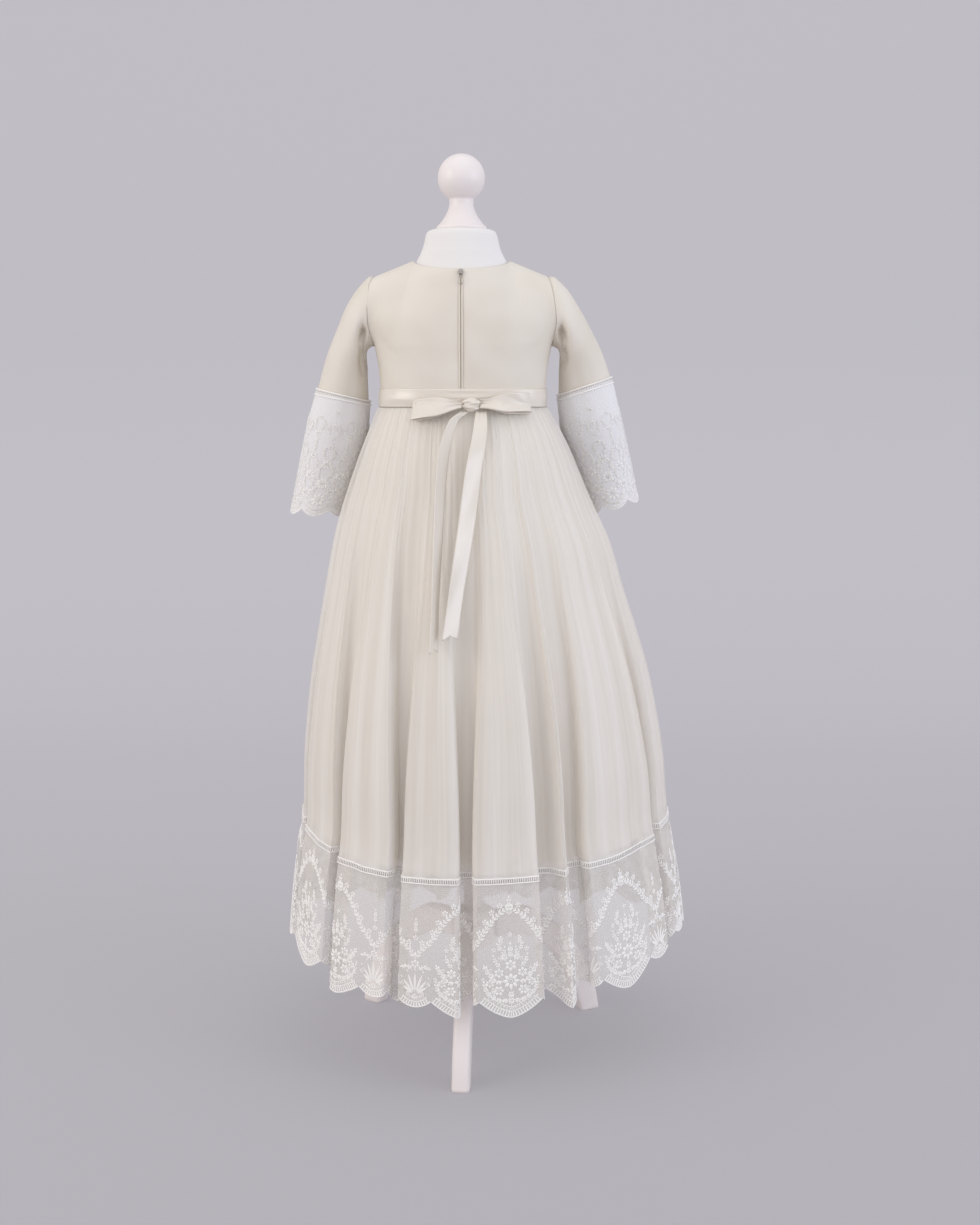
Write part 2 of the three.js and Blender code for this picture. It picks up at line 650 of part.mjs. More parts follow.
const knot = new THREE.SphereGeometry(1, 14, 9);
knot.scale(KNOT.half.x, KNOT.half.y, KNOT.half.z);
knot.translate(KNOT.x, -(backReach(KNOT.x, KNOT.z) + SEAM + KNOT.half.y), KNOT.z);
addMesh("bow_knot", placed(knot), COLOURS.ribbon, 0.4);

// A loop runs out from the knot, turns at its tip and comes back nearer the body.
function loopRows(sign, droop) {
  return [1, 0, -1].map((across) =>
    Array.from({ length: LOOP_COLUMNS }, (_, i) => {
      const angle = (i / LOOP_COLUMNS) * 2 * Math.PI * sign;
      const along = (1 - Math.cos(angle)) / 2;
      const half = lerp(4.5, RIBBON_HALF, smooth(along * 1.7));
      const x = KNOT.x + sign * (KNOT.half.x + 2 * SEAM + LOOP_LENGTH * along);
      const z = KNOT.z + 1 - droop * along + across * half - 2 * Math.sin(angle) * sign * along;
      const open = LOOP_HALF_GAP * lerp(0.45, 1, smooth(along * 2));
      const middle = backReach(x, z) + RIBBON + LOOP_HALF_GAP + SEAM;
      return point(x, -(middle - open * Math.sin(angle) * sign), z);
    }),
  );
}

addMesh("bow_loop_left", wall(loopRows(-1, 7), RIBBON, true), COLOURS.ribbon, 0.4);
addMesh("bow_loop_right", wall(loopRows(1, -1), RIBBON, true), COLOURS.ribbon, 0.4);

// Tails: the ribbon's middle, and how far its width is turned away from the viewer behind.
const TAILS = {
  left: table(["z", "x", "turn", "half"], [
    [722.9, 4, 20, 5],
    [714, -7, 50, 7],
    [675, -17.5, 68, RIBBON_HALF],
    [640, -20.3, 70, RIBBON_HALF],
    [583, -22.8, 76, RIBBON_HALF],
    [530, -24.8, 80, RIBBON_HALF],
    [479, -26.5, 78, RIBBON_HALF],
  ]),
  right: table(["z", "x", "turn", "half"], [
    [723.2, 21.5, 0, 5.6],
    [708, 21, 15, 7.5],
    [660, 13.6, 32, RIBBON_HALF],
    [599, 5.6, 30, RIBBON_HALF],
    [532, -4.5, 40, RIBBON_HALF],
    [492, -10, 36, RIBBON_HALF],
  ]),
};
const TAIL_NOTCH = 5;

for (const [name, rows] of Object.entries(TAILS)) {
  const grid = rows.map((row, r) => {
    const turn = radians(row.turn);
    const stand = row.half * Math.sin(turn) + RIBBON + 2 * SEAM;
    const reaches = [-1, 0, 1].map((side) => backReach(row.x + side * row.half * Math.cos(turn), row.z));
    const middle = Math.max(...reaches) + stand;
    return [-1, -0.5, 0, 0.5, 1].map((across) => {
      const notch = r === rows.length - 1 ? TAIL_NOTCH * (1 - Math.abs(across)) : 0;
      const x = row.x + across * row.half * Math.cos(turn);
      return point(x, -(middle - across * row.half * Math.sin(turn)), row.z + notch);
    });
  });
  addMesh(`bow_tail_${name}`, wall(grid, RIBBON, false), COLOURS.ribbon, 0.4);
}

// Zip: the closed coil shows as a narrow strip between the backs, with its slider at the neckline.
const COIL_HALF = ZIP_HALF - SEAM;
const coilRows = BODICE_UPS.map((up) => {
  const p = bodicePoint(-1, 0, up);
  return [-COIL_HALF, COIL_HALF].map((x) => point(x, p.y + 0.3, p.z));
});
addMesh("zip_tape", wall(coilRows, 0.8, false), COLOURS.zip);

const SLIDER_Z = 868.5;
const SLIDER_HALF_WIDTH = 1.8;
const PULL_OUT = 2.0; // the pull's bar stands this far out from the slider's back
const WIRE_RADIUS = 0.4;
const backNeckZ = NECK_SIDE_Z - NECKLINE[-1].drop;
const sliderUp = 2 - (backNeckZ - SLIDER_Z) / (backNeckZ - CHEST_Z);
const [above, below] = [bodicePoint(-1, 0, sliderUp), bodicePoint(-1, 0, sliderUp - 0.16)];
const slope = Math.atan2(above.y - below.y, above.z - below.z); // how far the back leans from upright
const sliderPlace = point(0, above.y - SEAM - 0.35, SLIDER_Z);
// A point of the slider's own frame (out from the cloth, up along it) in the model.
const onZip = (x, out, up) =>
  point(x, -out, up).applyAxisAngle(new THREE.Vector3(1, 0, 0), -slope).add(sliderPlace);

const sliderOutline = [
  [0, -3.6], [1.2, -3.6], [1.2, -2.7], [3.4, -1.9], [3.4, 2.1], [1.2, 3.1], [1.2, 3.6], [0, 3.6],
];
const bridgeHole = [
  [1.3, -1.3], [2.7, -1.1], [2.7, 1.5], [1.3, 1.8],
];
const sliderShape = new THREE.Shape(sliderOutline.map(([out, up]) => new THREE.Vector2(out, up)));
sliderShape.holes.push(new THREE.Path(bridgeHole.map(([out, up]) => new THREE.Vector2(out, up))));
const slider = new THREE.ExtrudeGeometry(sliderShape, { depth: 2 * SLIDER_HALF_WIDTH, bevelEnabled: false });

addMesh(
  "zip_slider",
  placed(slider, (p) => onZip(p.z - SLIDER_HALF_WIDTH, p.x, p.y)),
  COLOURS.steel, 0.35, 0.9,
);

// Pull: one bent wire, straight through the slider's bridge and drop-shaped below.
const PULL_WIRE = table(["x", "up"], [
  [0, 0.2], [2.6, 0.2], [2.7, -1.6], [1.9, -3.6], [2.0, -6.5], [2.6, -9.8], [1.9, -12.4], [0, -13.3],
]);
const wirePath = [...PULL_WIRE, ...PULL_WIRE.slice(1, -1).reverse().map(({ x, up }) => ({ x: -x, up }))];
const WIRE_SIDES = 6;
const wireRings = wirePath.map(({ x, up }, i) => {
  const next = wirePath[(i + 1) % wirePath.length];
  const last = wirePath[(i + wirePath.length - 1) % wirePath.length];
  const along = new THREE.Vector2(next.x - last.x, next.up - last.up).normalize();
  return Array.from({ length: WIRE_SIDES }, (_, k) => {
    const angle = (k / WIRE_SIDES) * 2 * Math.PI;
    const [side, out] = [Math.cos(angle) * WIRE_RADIUS, Math.sin(angle) * WIRE_RADIUS];
    return onZip(x + along.y * side, PULL_OUT + out, up - along.x * side);
  });
});
const wireFaces = wireRings.flatMap((_, r) =>
  Array.from({ length: WIRE_SIDES }, (_unused, k) => {
    const nextRing = (r + 1) % wireRings.length;
    const nextSide = (k + 1) % WIRE_SIDES;
    const [here, there] = [r * WIRE_SIDES, nextRing * WIRE_SIDES];
    return [here + k, here + nextSide, there + nextSide, there + k];
  }),
);
addMesh("zip_pull", closedBody(wireRings.flat(), wireFaces), COLOURS.steel, 0.35, 0.9);

// Stand: a pole that leans a little with the form, a turned hub and three arched legs.
const HUB = { radius: 24, top: 150, bottom: 106 };
const POLE_TOP_X = 5.6;
const POLE_SIDES = 20;
const poleRing = (x, z) =>
  Array.from({ length: POLE_SIDES }, (_, i) => {
    const angle = (i / POLE_SIDES) * 2 * Math.PI;
    return point(x + POLE_RADIUS * Math.cos(angle), POLE_RADIUS * Math.sin(angle), z);
  });
const poleRings = [poleRing(POLE_TOP_X, FORM_BOTTOM_Z - SEAM), poleRing(STAND_X, HUB.top + SEAM)];
addMesh("pole", loft(poleRings), COLOURS.wood, 0.55);

const hubProfile = [
  [0, HUB.bottom],
  [19, HUB.bottom],
  [HUB.radius, HUB.bottom + 5],
  [HUB.radius, HUB.top - 6],
  [18, HUB.top],
  [0, HUB.top],
].map(([r, z]) => new THREE.Vector2(r, z));
const hub = turned(hubProfile, 24);
hub.translate(STAND_X, 0, 0);
addMesh("stand_hub", hub, COLOURS.wood, 0.55);

// A leg's outline seen from its side: its top edge out to the foot and its under edge back to the hub.
const LEG_TOP = [[60, 142], [100, 120], [130, 88], [149, 52], [160, 20], [FOOT_REACH - 1, 3]];
const LEG_UNDER = [[138, 0], [127, 30], [112, 62], [90, 90], [60, 108]];
const LEG_BEVEL = 2;
const legShape = new THREE.Shape();
const rootX = HUB.radius + SEAM;
legShape.moveTo(rootX, HUB.top - 8);
legShape.splineThru(LEG_TOP.map(([x, z]) => new THREE.Vector2(x, z)));
legShape.lineTo(FOOT_REACH - 3, 0);
legShape.lineTo(...LEG_UNDER[0]);
const legReturn = [...LEG_UNDER.slice(1), [rootX, HUB.bottom + 6]];
legShape.splineThru(legReturn.map(([x, z]) => new THREE.Vector2(x, z)));
legShape.closePath();

const LEG_NAMES = ["front", "right", "left"]; // towards the viewer behind the gown, then to either side
LEG_NAMES.forEach((name, i) => {
  const leg = new THREE.ExtrudeGeometry(legShape, {
    depth: LEG_WIDTH - 2 * LEG_BEVEL,
    bevelSize: LEG_BEVEL,
    bevelThickness: LEG_BEVEL,
    bevelOffset: -LEG_BEVEL,
    bevelSegments: 1,
    curveSegments: 2,
  });
  const heading = radians(FIRST_LEG_DEG + 120 * i);
  const place = (p) =>
    point(p.x, -(p.z - LEG_WIDTH / 2 + LEG_BEVEL), p.y)
      .applyAxisAngle(new THREE.Vector3(0, 0, 1), heading)
      .add(point(STAND_X, 0, 0));
  addMesh(`leg_${name}`, placed(leg, place), COLOURS.wood, 0.55);
});

// The origin is the middle of the footprint of the whole, on the floor.
group.updateMatrixWorld(true);
const box = new THREE.Box3().setFromObject(group, true);
group.position.set(-(box.min.x + box.max.x) / 2, -(box.min.y + box.max.y) / 2, -box.min.z);
group.updateMatrixWorld(true);
export default group;
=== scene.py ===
"""A christening gown on a child's dress form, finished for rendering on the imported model's own places."""
import math

import bmesh
import bpy
import numpy as np
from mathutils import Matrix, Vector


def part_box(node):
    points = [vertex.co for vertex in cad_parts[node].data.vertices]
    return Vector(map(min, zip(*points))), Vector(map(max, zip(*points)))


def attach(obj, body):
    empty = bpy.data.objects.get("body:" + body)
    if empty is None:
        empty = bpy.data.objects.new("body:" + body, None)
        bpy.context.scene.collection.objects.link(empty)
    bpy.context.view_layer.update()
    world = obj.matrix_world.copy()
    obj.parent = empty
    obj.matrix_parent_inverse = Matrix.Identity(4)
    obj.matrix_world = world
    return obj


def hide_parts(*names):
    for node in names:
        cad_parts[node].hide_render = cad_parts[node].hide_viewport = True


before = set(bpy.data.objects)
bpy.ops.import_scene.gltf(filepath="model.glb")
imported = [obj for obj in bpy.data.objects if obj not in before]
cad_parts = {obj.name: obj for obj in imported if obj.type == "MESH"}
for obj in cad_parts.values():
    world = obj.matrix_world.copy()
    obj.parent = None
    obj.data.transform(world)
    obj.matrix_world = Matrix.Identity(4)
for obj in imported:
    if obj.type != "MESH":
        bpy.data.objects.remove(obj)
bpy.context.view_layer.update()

# The form's upright axis, about which the gown is laid out in millimetres: x to the right of someone
# looking at the back, y towards the gown's front, z up from the floor.
finial_low, finial_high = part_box("finial")
AXIS_X = (finial_low[0] + finial_high[0]) / 2
AXIS_Y = (finial_low[1] + finial_high[1]) / 2


def to_metres(points):
    """Places about the form's axis in millimetres, as places in the model's frame in metres."""
    return np.asarray(points, float) / 1000 + np.array([AXIS_X, AXIS_Y, 0])


# Camera: an eye-level view of the gown's back from 1.65 m, tipped down a little, on a portrait frame.
camera = bpy.data.objects.new("camera", bpy.data.cameras.new("camera"))
camera.data.sensor_width = 36
camera.data.lens = 43.4
camera.location = (AXIS_X + 0.031, AXIS_Y - 1.65, 0.747)
camera.rotation_euler = (math.radians(90 - 8.62), 0, 0)
bpy.context.collection.objects.link(camera)
bpy.context.scene.camera = camera


def linear(hex_colour):
    """An sRGB hex colour as linear red, green, blue and full alpha."""
    parts = [int(hex_colour[i : i + 2], 16) / 255 for i in (1, 3, 5)]
    straight = [c / 12.92 if c <= 0.04045 else ((c + 0.055) / 1.055) ** 2.4 for c in parts]
    return (*straight, 1.0)


def new_material(name, colour, roughness, **settings):
    """A material with its Principled shader set by socket name, and that shader's node."""
    material = bpy.data.materials.new(name)
    material.use_nodes = True
    shader = material.node_tree.nodes["Principled BSDF"]
    shader.inputs["Base Color"].default_value = linear(colour)
    shader.inputs["Roughness"].default_value = roughness
    for socket, value in settings.items():
        shader.inputs[socket.replace("_", " ")].default_value = value
    return material, shader


def add_node(material, kind, links=None, **settings):
    """One more node: settings are its own values or its sockets' values, links feed its sockets."""
    node = material.node_tree.nodes.new(kind)
    for name, value in settings.items():
        if hasattr(node, name):
            setattr(node, name, value)
        else:
            node.inputs[name.replace("_", " ")].default_value = value
    for socket, source in (links or {}).items():
        material.node_tree.links.new(source, node.inputs[socket])
    return node


# Floor and backdrop: one sheet of pale grey paper that lies flat, curves up behind and stands as a wall.
# Matt paper gives the soft shadow round the feet and no reflection.
paper, paper_shader = new_material("grey_paper", "#878589", 0.95)
paper_grain = add_node(paper, "ShaderNodeTexNoise", Scale=900.0, Detail=2.0)
paper_bump = add_node(
    paper, "ShaderNodeBump", {"Height": paper_grain.outputs["Fac"]}, Strength=0.05, Distance=0.0002
)
paper.node_tree.links.new(paper_bump.outputs["Normal"], paper_shader.inputs["Normal"])
# Painted light: the paper glows by its own emission, brighter on the wall than on the floor. This painted
# glow stands in for the studio's light all round, so that its shadows stay pale.
paper_place = add_node(paper, "ShaderNodeTexCoord")
paper_split = add_node(paper, "ShaderNodeSeparateXYZ", {"Vector": paper_place.outputs["Object"]})
paper_glow_depth = add_node(
    paper, "ShaderNodeMapRange", {"Value": paper_split.outputs["Y"]}, From_Min=-1.2, From_Max=2.1
)
paper_painted_glow = add_node(paper, "ShaderNodeValToRGB", {"Fac": paper_glow_depth.outputs["Result"]})
paper_painted_glow.color_ramp.elements[0].color = linear("#767377")
paper_painted_glow.color_ramp.elements[1].color = linear("#959397")
# The painted glow goes into the paper's emission.
paper.node_tree.links.new(paper_painted_glow.outputs["Color"], paper_shader.inputs["Emission Color"])
paper_shader.inputs["Emission Strength"].default_value = 1.0

BEND_START = 1.3
BEND_RADIUS = 0.9
bend_turns = np.linspace(0, 1.5708, 24)
bend = [(BEND_START + BEND_RADIUS * math.sin(a), BEND_RADIUS * (1 - math.cos(a))) for a in bend_turns]
profile = [(-5.0, 0.0), *bend, (BEND_START + BEND_RADIUS, 6.0)]
paper_mesh = bpy.data.meshes.new("backdrop")
paper_mesh.from_pydata(
    [(side * 6.0, y, z) for y, z in profile for side in (-1, 1)],
    [],
    [(2 * i, 2 * i + 1, 2 * i + 3, 2 * i + 2) for i in range(len(profile) - 1)],
)
paper_mesh.shade_smooth()
backdrop = bpy.data.objects.new("backdrop", paper_mesh)
backdrop.data.materials.append(paper)
bpy.context.collection.objects.link(backdrop)

# Light: a broad warm soft box on the left, a cooler one on the right, a faint one above, and even light
# all round.
world = bpy.data.worlds.new("studio")
world.use_nodes = True
world.node_tree.nodes["Background"].inputs["Color"].default_value = linear("#F2F2F6")
world.node_tree.nodes["Background"].inputs["Strength"].default_value = 0.97
bpy.context.scene.world = world
bpy.context.scene.view_settings.view_transform = "Standard"


def soft_box(name, place, target, size, watts, colour):
    """A square area light of a size in metres that faces a point."""
    light = bpy.data.lights.new(name, "AREA")
    light.size = size
    light.energy = watts
    light.color = linear(colour)[:3]
    lamp = bpy.data.objects.new(name, light)
    lamp.location = place
    away = [b - a for a, b in zip(place, target)]
    flat = math.hypot(away[0], away[1])
    lamp.rotation_euler = (math.atan2(flat, -away[2]), 0, math.atan2(away[1], away[0]) - math.pi / 2)
    bpy.context.collection.objects.link(lamp)


soft_box("key_light", (-2.5, -1.5, 1.5), (0, 0, 0.5), 1.6, 25, "#FFF9F0")
soft_box("fill_light", (2.8, -1.4, 1.2), (0, 0, 0.5), 1.8, 29, "#E6EEFF")
soft_box("top_light", (0.0, 0.2, 2.8), (0, 0, 0.4), 2.4, 3, "#FFFFFF")

# Finial: a ball on a flared cap, turned from one piece of wood and painted, screwed into the form's neck.
# The lathe leaves crisp fillets between the ball, the waist and the cap's thin lip.
def make_piece(name, points, faces, material, nodes, uvs=None, body="root", solid=False):
    """A smooth mesh from places in millimetres, riding on its body and standing for its model nodes."""
    mesh = bpy.data.meshes.new(name)
    mesh.from_pydata([tuple(p) for p in to_metres(points)], [], faces)
    if solid:
        shell = bmesh.new()
        shell.from_mesh(mesh)
        bmesh.ops.recalc_face_normals(shell, faces=shell.faces)
        shell.to_mesh(mesh)
        shell.free()
    if uvs is not None:
        layer = mesh.uv_layers.new(name="cloth_mm")
        corners = np.empty(len(mesh.loops), int)
        mesh.loops.foreach_get("vertex_index", corners)
        layer.data.foreach_set("uv", np.asarray(uvs, float)[corners].ravel())
    mesh.materials.append(material)
    mesh.shade_smooth()
    piece = bpy.data.objects.new(name, mesh)
    bpy.context.collection.objects.link(piece)
    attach(piece, body)
    if nodes:
        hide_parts(*nodes)
    return piece


def grid_faces(rows, columns, closed=False, start=0):
    """The faces of a grid of points kept row after row, joined round at its ends where it is closed."""
    spans = columns if closed else columns - 1
    faces = []
    for r in range(rows - 1):
        for c in range(spans):
            after = (c + 1) % columns
            here, below = start + r * columns, start + (r + 1) * columns
            faces.append((here + c, below + c, below + after, here + after))
    return faces


def eased(rows, value):
    """A table's other columns at a value of its first column, on a smooth curve through its rows."""
    table = np.array(sorted(rows), float)
    x, y = table[:, 0], table[:, 1:]
    slope = np.diff(y, axis=0) / np.diff(x)[:, None]
    product = slope[1:] * slope[:-1]
    inner = np.where(product > 0, 2 * product / np.where(product > 0, slope[1:] + slope[:-1], 1), 0)
    tangent = np.vstack([slope[:1], inner, slope[-1:]])
    value = np.clip(np.asarray(value, float), x[0], x[-1])
    i = np.clip(np.searchsorted(x, value) - 1, 0, len(x) - 2)
    step = x[i + 1] - x[i]
    t = ((value - x[i]) / step)[..., None]
    step = step[..., None]
    low = (1 + 2 * t) * (1 - t) ** 2 * y[i] + t * (1 - t) ** 2 * step * tangent[i]
    return low + t * t * (3 - 2 * t) * y[i + 1] + t * t * (t - 1) * step * tangent[i + 1]


painted_wood, paint_shader = new_material("satin_white_painted_wood", "#ECE4E1", 0.42, Coat_Weight=0.15)
paint_place = add_node(painted_wood, "ShaderNodeTexCoord")
paint_stretch = add_node(painted_wood, "ShaderNodeMapping", {"Vector": paint_place.outputs["Object"]})
paint_stretch.inputs["Scale"].default_value = (1.0, 1.0, 0.25)
# Brush and grain marks, about 0.7 mm wide and four times as long, just felt through the paint.
paint_marks = add_node(
    painted_wood, "ShaderNodeTexNoise", {"Vector": paint_stretch.outputs["Vector"]}, Scale=1400.0, Detail=3.0
)
paint_bump = add_node(
    painted_wood, "ShaderNodeBump", {"Height": paint_marks.outputs["Fac"]}, Strength=0.12, Distance=0.0002
)
painted_wood.node_tree.links.new(paint_bump.outputs["Normal"], paint_shader.inputs["Normal"])
# A slow change of tone, over 60 mm, where the white paint lies thinner.
paint_patches = add_node(
    painted_wood, "ShaderNodeTexNoise", {"Vector": paint_place.outputs["Object"]}, Scale=16.0, Detail=1.0
)
paint_tone = add_node(painted_wood, "ShaderNodeValToRGB", {"Fac": paint_patches.outputs["Fac"]})
paint_tone.color_ramp.elements[0].color = linear("#E7DDDA")
paint_tone.color_ramp.elements[1].color = linear("#F0E9E7")
painted_wood.node_tree.links.new(paint_tone.outputs["Color"], paint_shader.inputs["Base Color"])


def turned_piece(name, profile, sides, centre_x, node):
    """A piece turned on a lathe from rows of radius and height, closed by points on its axis."""
    radius, height = np.array(profile, float).T
    turn = np.arange(sides) / sides * 2 * np.pi
    x = centre_x + radius[:, None] * np.cos(turn)
    y = radius[:, None] * np.sin(turn)
    z = np.broadcast_to(height[:, None], x.shape)
    points = np.stack([x, y, z], -1).reshape(-1, 3)
    faces = grid_faces(len(profile), sides, closed=True)
    ends = [(centre_x, 0, height[0]), (centre_x, 0, height[-1])]
    low, high = len(points), len(points) + 1
    last = (len(profile) - 1) * sides
    for c in range(sides):
        after = (c + 1) % sides
        faces.append((after, low, c))
        faces.append((last + c, high, last + after))
    return make_piece(name, [*points, *ends], faces, painted_wood, [node], solid=True)


BALL_Z = 972.2
BALL_RADIUS = 25.6
CAP = [(917.3, 26.2), (918.0, 27.1), (919.4, 27.3), (921.0, 26.9), (922.0, 25.4), (926.5, 21.6),
       (933.5, 17.0), (940.0, 14.1), (945.0, 13.0), (949.6, 13.2)]
cap_heights = np.linspace(CAP[0][0], CAP[-1][0], 40)
ball_start = math.acos(13.6 / BALL_RADIUS)
ball_turn = np.linspace(-ball_start, math.radians(88), 44)
finial_profile = [
    (24.5, 917.3),
    *zip(eased(CAP, cap_heights)[:, 0], cap_heights),
    *zip(BALL_RADIUS * np.cos(ball_turn), BALL_Z + BALL_RADIUS * np.sin(ball_turn)),
]
turned_piece("finial_turned", finial_profile, 96, 0.0, "finial")

# Stand: a round pole, a turned hub and three arched legs sawn from board, with their edges rounded over.
# The same white satin paint covers them, and the flat feet stand on the floor.
STAND_X = 13.0
HUB = [(106.0, 17.5), (107.0, 20.5), (111.0, 24.0), (143.0, 24.0), (147.0, 22.0), (150.0, 18.0)]
hub_heights = np.concatenate([np.linspace(106, 112, 8), np.linspace(113, 142, 4), np.linspace(143, 150, 8)])
turned_piece("hub_turned", list(zip(eased(HUB, hub_heights)[:, 0], hub_heights)), 64, STAND_X, "stand_hub")

POLE_RADIUS = 12.0
POLE_TOP_X, POLE_TOP_Z = 5.6, 599.7
POLE_FOOT_Z = 150.3
pole_share = np.linspace(0, 1, 12)[:, None]
pole_turn = np.arange(48) / 48 * 2 * np.pi
pole_points = np.stack(
    [
        POLE_TOP_X + (STAND_X - POLE_TOP_X) * pole_share + POLE_RADIUS * np.cos(pole_turn),
        0 * pole_share + POLE_RADIUS * np.sin(pole_turn),
        POLE_TOP_Z + (POLE_FOOT_Z - POLE_TOP_Z) * pole_share + 0 * pole_turn,
    ],
    -1,
).reshape(-1, 3)
pole_faces = grid_faces(12, 48, closed=True)
pole_faces += [tuple(range(47, -1, -1)), tuple(range(11 * 48, 12 * 48))]
make_piece("pole_rod", pole_points, pole_faces, painted_wood, ["pole"], solid=True)

LEG_HALF_WIDTH = 10.0
LEG_TOP = [(0, 24.3, 142), (0.2, 60, 142), (0.4, 100, 120), (0.6, 130, 88), (0.78, 149, 52), (0.92, 160, 20),
           (1, 163.5, 0)]
LEG_UNDER = [(0, 24.3, 112), (0.2, 60, 108), (0.4, 90, 90), (0.6, 112, 62), (0.8, 127, 30), (1, 138, 0)]


def leg(node, heading):
    """An arched leg: rounded sections between its upper and under edges, from the hub to its foot."""
    share = np.concatenate([np.linspace(0, 0.97, 40), [0.985, 1.0, 1.0]])
    top, under = eased(LEG_TOP, share), eased(LEG_UNDER, share)
    middle, half = (top + under) / 2, (top - under) / 2
    turn = np.arange(32) / 32 * 2 * np.pi
    up = np.sign(np.sin(turn)) * np.abs(np.sin(turn)) ** 0.42
    side = np.sign(np.cos(turn)) * np.abs(np.cos(turn)) ** 0.42
    size = np.ones(len(share))
    size[-2:] = (1.0, 0.93)
    reach = middle[:, :1] + half[:, :1] * up * size[:, None]
    z = middle[:, 1:] + half[:, 1:] * up * size[:, None]
    across = LEG_HALF_WIDTH * side * size[:, None]
    c, s = math.cos(math.radians(heading)), math.sin(math.radians(heading))
    points = np.stack([STAND_X + reach * c - across * s, reach * s + across * c, z], -1).reshape(-1, 3)
    faces = grid_faces(len(share), 32, closed=True)
    faces += [tuple(range(31, -1, -1)), tuple(range((len(share) - 1) * 32, len(share) * 32))]
    make_piece(node + "_sawn", points, faces, painted_wood, [node], solid=True)


leg("leg_front", -95)
leg("leg_right", 25)
leg("leg_left", 145)

# Dress form: a limbless child's body of padded board under a tight cover of white cotton jersey.
# It stands whole and smooth inside the bodice, with the jersey drawn over a low round-topped neck.
WAIST_Z = 727.0
CHEST_Z = 793.0
SHOULDER_Z = 868.0
NECK_SIDE_Z = 885.0
NECK_HALF = 52.0
ROUNDNESS = 2.4
ARMHOLE_DEPTH = 30.0
NECK_SHARE = 3 / 7
BODY = [(727, 1.0, 91.0, 60, 64), (746, 1.3, 91.0, 60, 65), (768, 1.4, 92.6, 61, 67),
        (793, 1.5, 97.0, 62, 68)]
ARMHOLE = [(793, -95.5, 98.5), (802, -97.8, 100.0), (818, -101.0, 102.4), (836, -101.3, 101.0),
           (858, -99.5, 97.2), (868, -94.5, 93.8)]
NECKLINE = {-1: (12, 48), 1: (34, 52)}


def bodice_point(side, share, up, inset=0.0):
    """The bodice's surface: side -1 at the back, 1 at the front; share -1 to 1 from left to right; up 0 at
    the waist, 1 at the underarm and 2 at the neckline and shoulder seams."""
    share, up = np.broadcast_arrays(np.asarray(share, float), np.asarray(up, float))
    quarter = share * np.pi / 2
    across = np.sign(share) * np.abs(np.sin(quarter)) ** (2 / ROUNDNESS)
    deep = np.clip(np.cos(quarter), 0, 1) ** (2 / ROUNDNESS)
    low = eased(BODY, WAIST_Z + (CHEST_Z - WAIST_Z) * np.clip(up, 0, 1))
    low_depth = low[..., 3 if side > 0 else 2] - inset
    low_x = low[..., 0] + across * (low[..., 1] - inset)
    v = np.clip(up - 1, 0, 1)
    drop, depth = NECKLINE[side]
    shoulder = np.clip((np.abs(share) - NECK_SHARE) / (1 - NECK_SHARE), 0, 1)
    angle = np.clip(np.abs(share) / NECK_SHARE, 0, 1) * np.pi / 2
    on_neck = np.abs(share) < NECK_SHARE
    on_shoulder = NECK_SIDE_Z + (SHOULDER_Z - NECK_SIDE_Z) * shoulder
    seam_z = np.where(on_neck, NECK_SIDE_Z - drop * np.cos(angle), on_shoulder)
    z = CHEST_Z + (seam_z - inset - CHEST_Z) * v
    armhole = eased(ARMHOLE, CHEST_Z + (SHOULDER_Z - CHEST_Z) * v)
    edge = np.where(share < 0, -armhole[..., 0], armhole[..., 1]) - inset * 1.8
    top_x = np.where(on_neck, NECK_HALF * np.sin(angle), NECK_HALF + (edge - NECK_HALF) * shoulder)
    wide = np.abs(across) * edge
    x = np.sign(share) * (wide + (top_x - wide) * v**1.5) + BODY[-1][1] * (1 - v) * (1 - np.abs(share))
    low_y = low_depth * deep
    top_y = np.where(on_neck, depth * np.cos(angle) - inset, 0.15)
    steep = np.clip(shoulder + 0.5, 0, 1)
    dome = (1 - v**1.6) * (1 - steep) + (1 - v**2.2) ** 0.6 * steep
    body_y = top_y + (low_y - top_y) * dome
    arm_y = (ARMHOLE_DEPTH - inset) * np.sqrt(np.clip(1 - (2 * v - 1) ** 2, 0, 1))
    high_y = (np.abs(body_y) ** 4 + arm_y**4) ** 0.25
    below = up <= 1
    return np.stack(
        [
            np.where(below, low_x, x),
            side * np.where(below, low_y, high_y),
            np.where(below, WAIST_Z + (CHEST_Z - WAIST_Z) * up, z),
        ],
        -1,
    )


FORM_INSET = 2.1
HIPS = [(600, 70, 42, 44), (602, 76, 47, 49), (608, 84, 54, 56), (625, 90, 60, 62), (655, 90, 60, 64),
        (690, 84, 54, 59), (715, 84, 54, 58)]
NECK = [(889, 46.0, 43), (899, 41.8, 40), (910, 39.2, 37.5), (914, 37.9, 36.3), (916, 35.8, 34.2),
        (917, 33.0, 32)]


def form_ring(half_ring):
    """A ring round the form from a function of side and share, back first and then the front."""
    shares = np.linspace(-1, 1, 65)
    return np.concatenate([half_ring(-1, shares), half_ring(1, shares[::-1])])


def neck_half(z):
    """Half of the neck's ring at a height."""
    half, depth = eased(NECK, z)

    def half_ring(side, share):
        angle = np.clip(np.abs(share) / NECK_SHARE, 0, 1) * np.pi / 2
        x = half * np.sin(angle) * np.sign(share)
        return np.stack([x, side * depth * np.cos(angle), z + 0 * x], -1)

    return half_ring


def neck_foot(side, share):
    """Half of the ring where the neck meets the shoulders, just inside the neckline."""
    drop, depth = NECKLINE[side]
    angle = np.clip(np.abs(share) / NECK_SHARE, 0, 1) * np.pi / 2
    x = (NECK_HALF - FORM_INSET) * np.sin(angle) * np.sign(share)
    z = NECK_SIDE_Z - drop * np.cos(angle) - FORM_INSET
    return np.stack([x, side * (depth - FORM_INSET - 1) * np.cos(angle), z], -1)


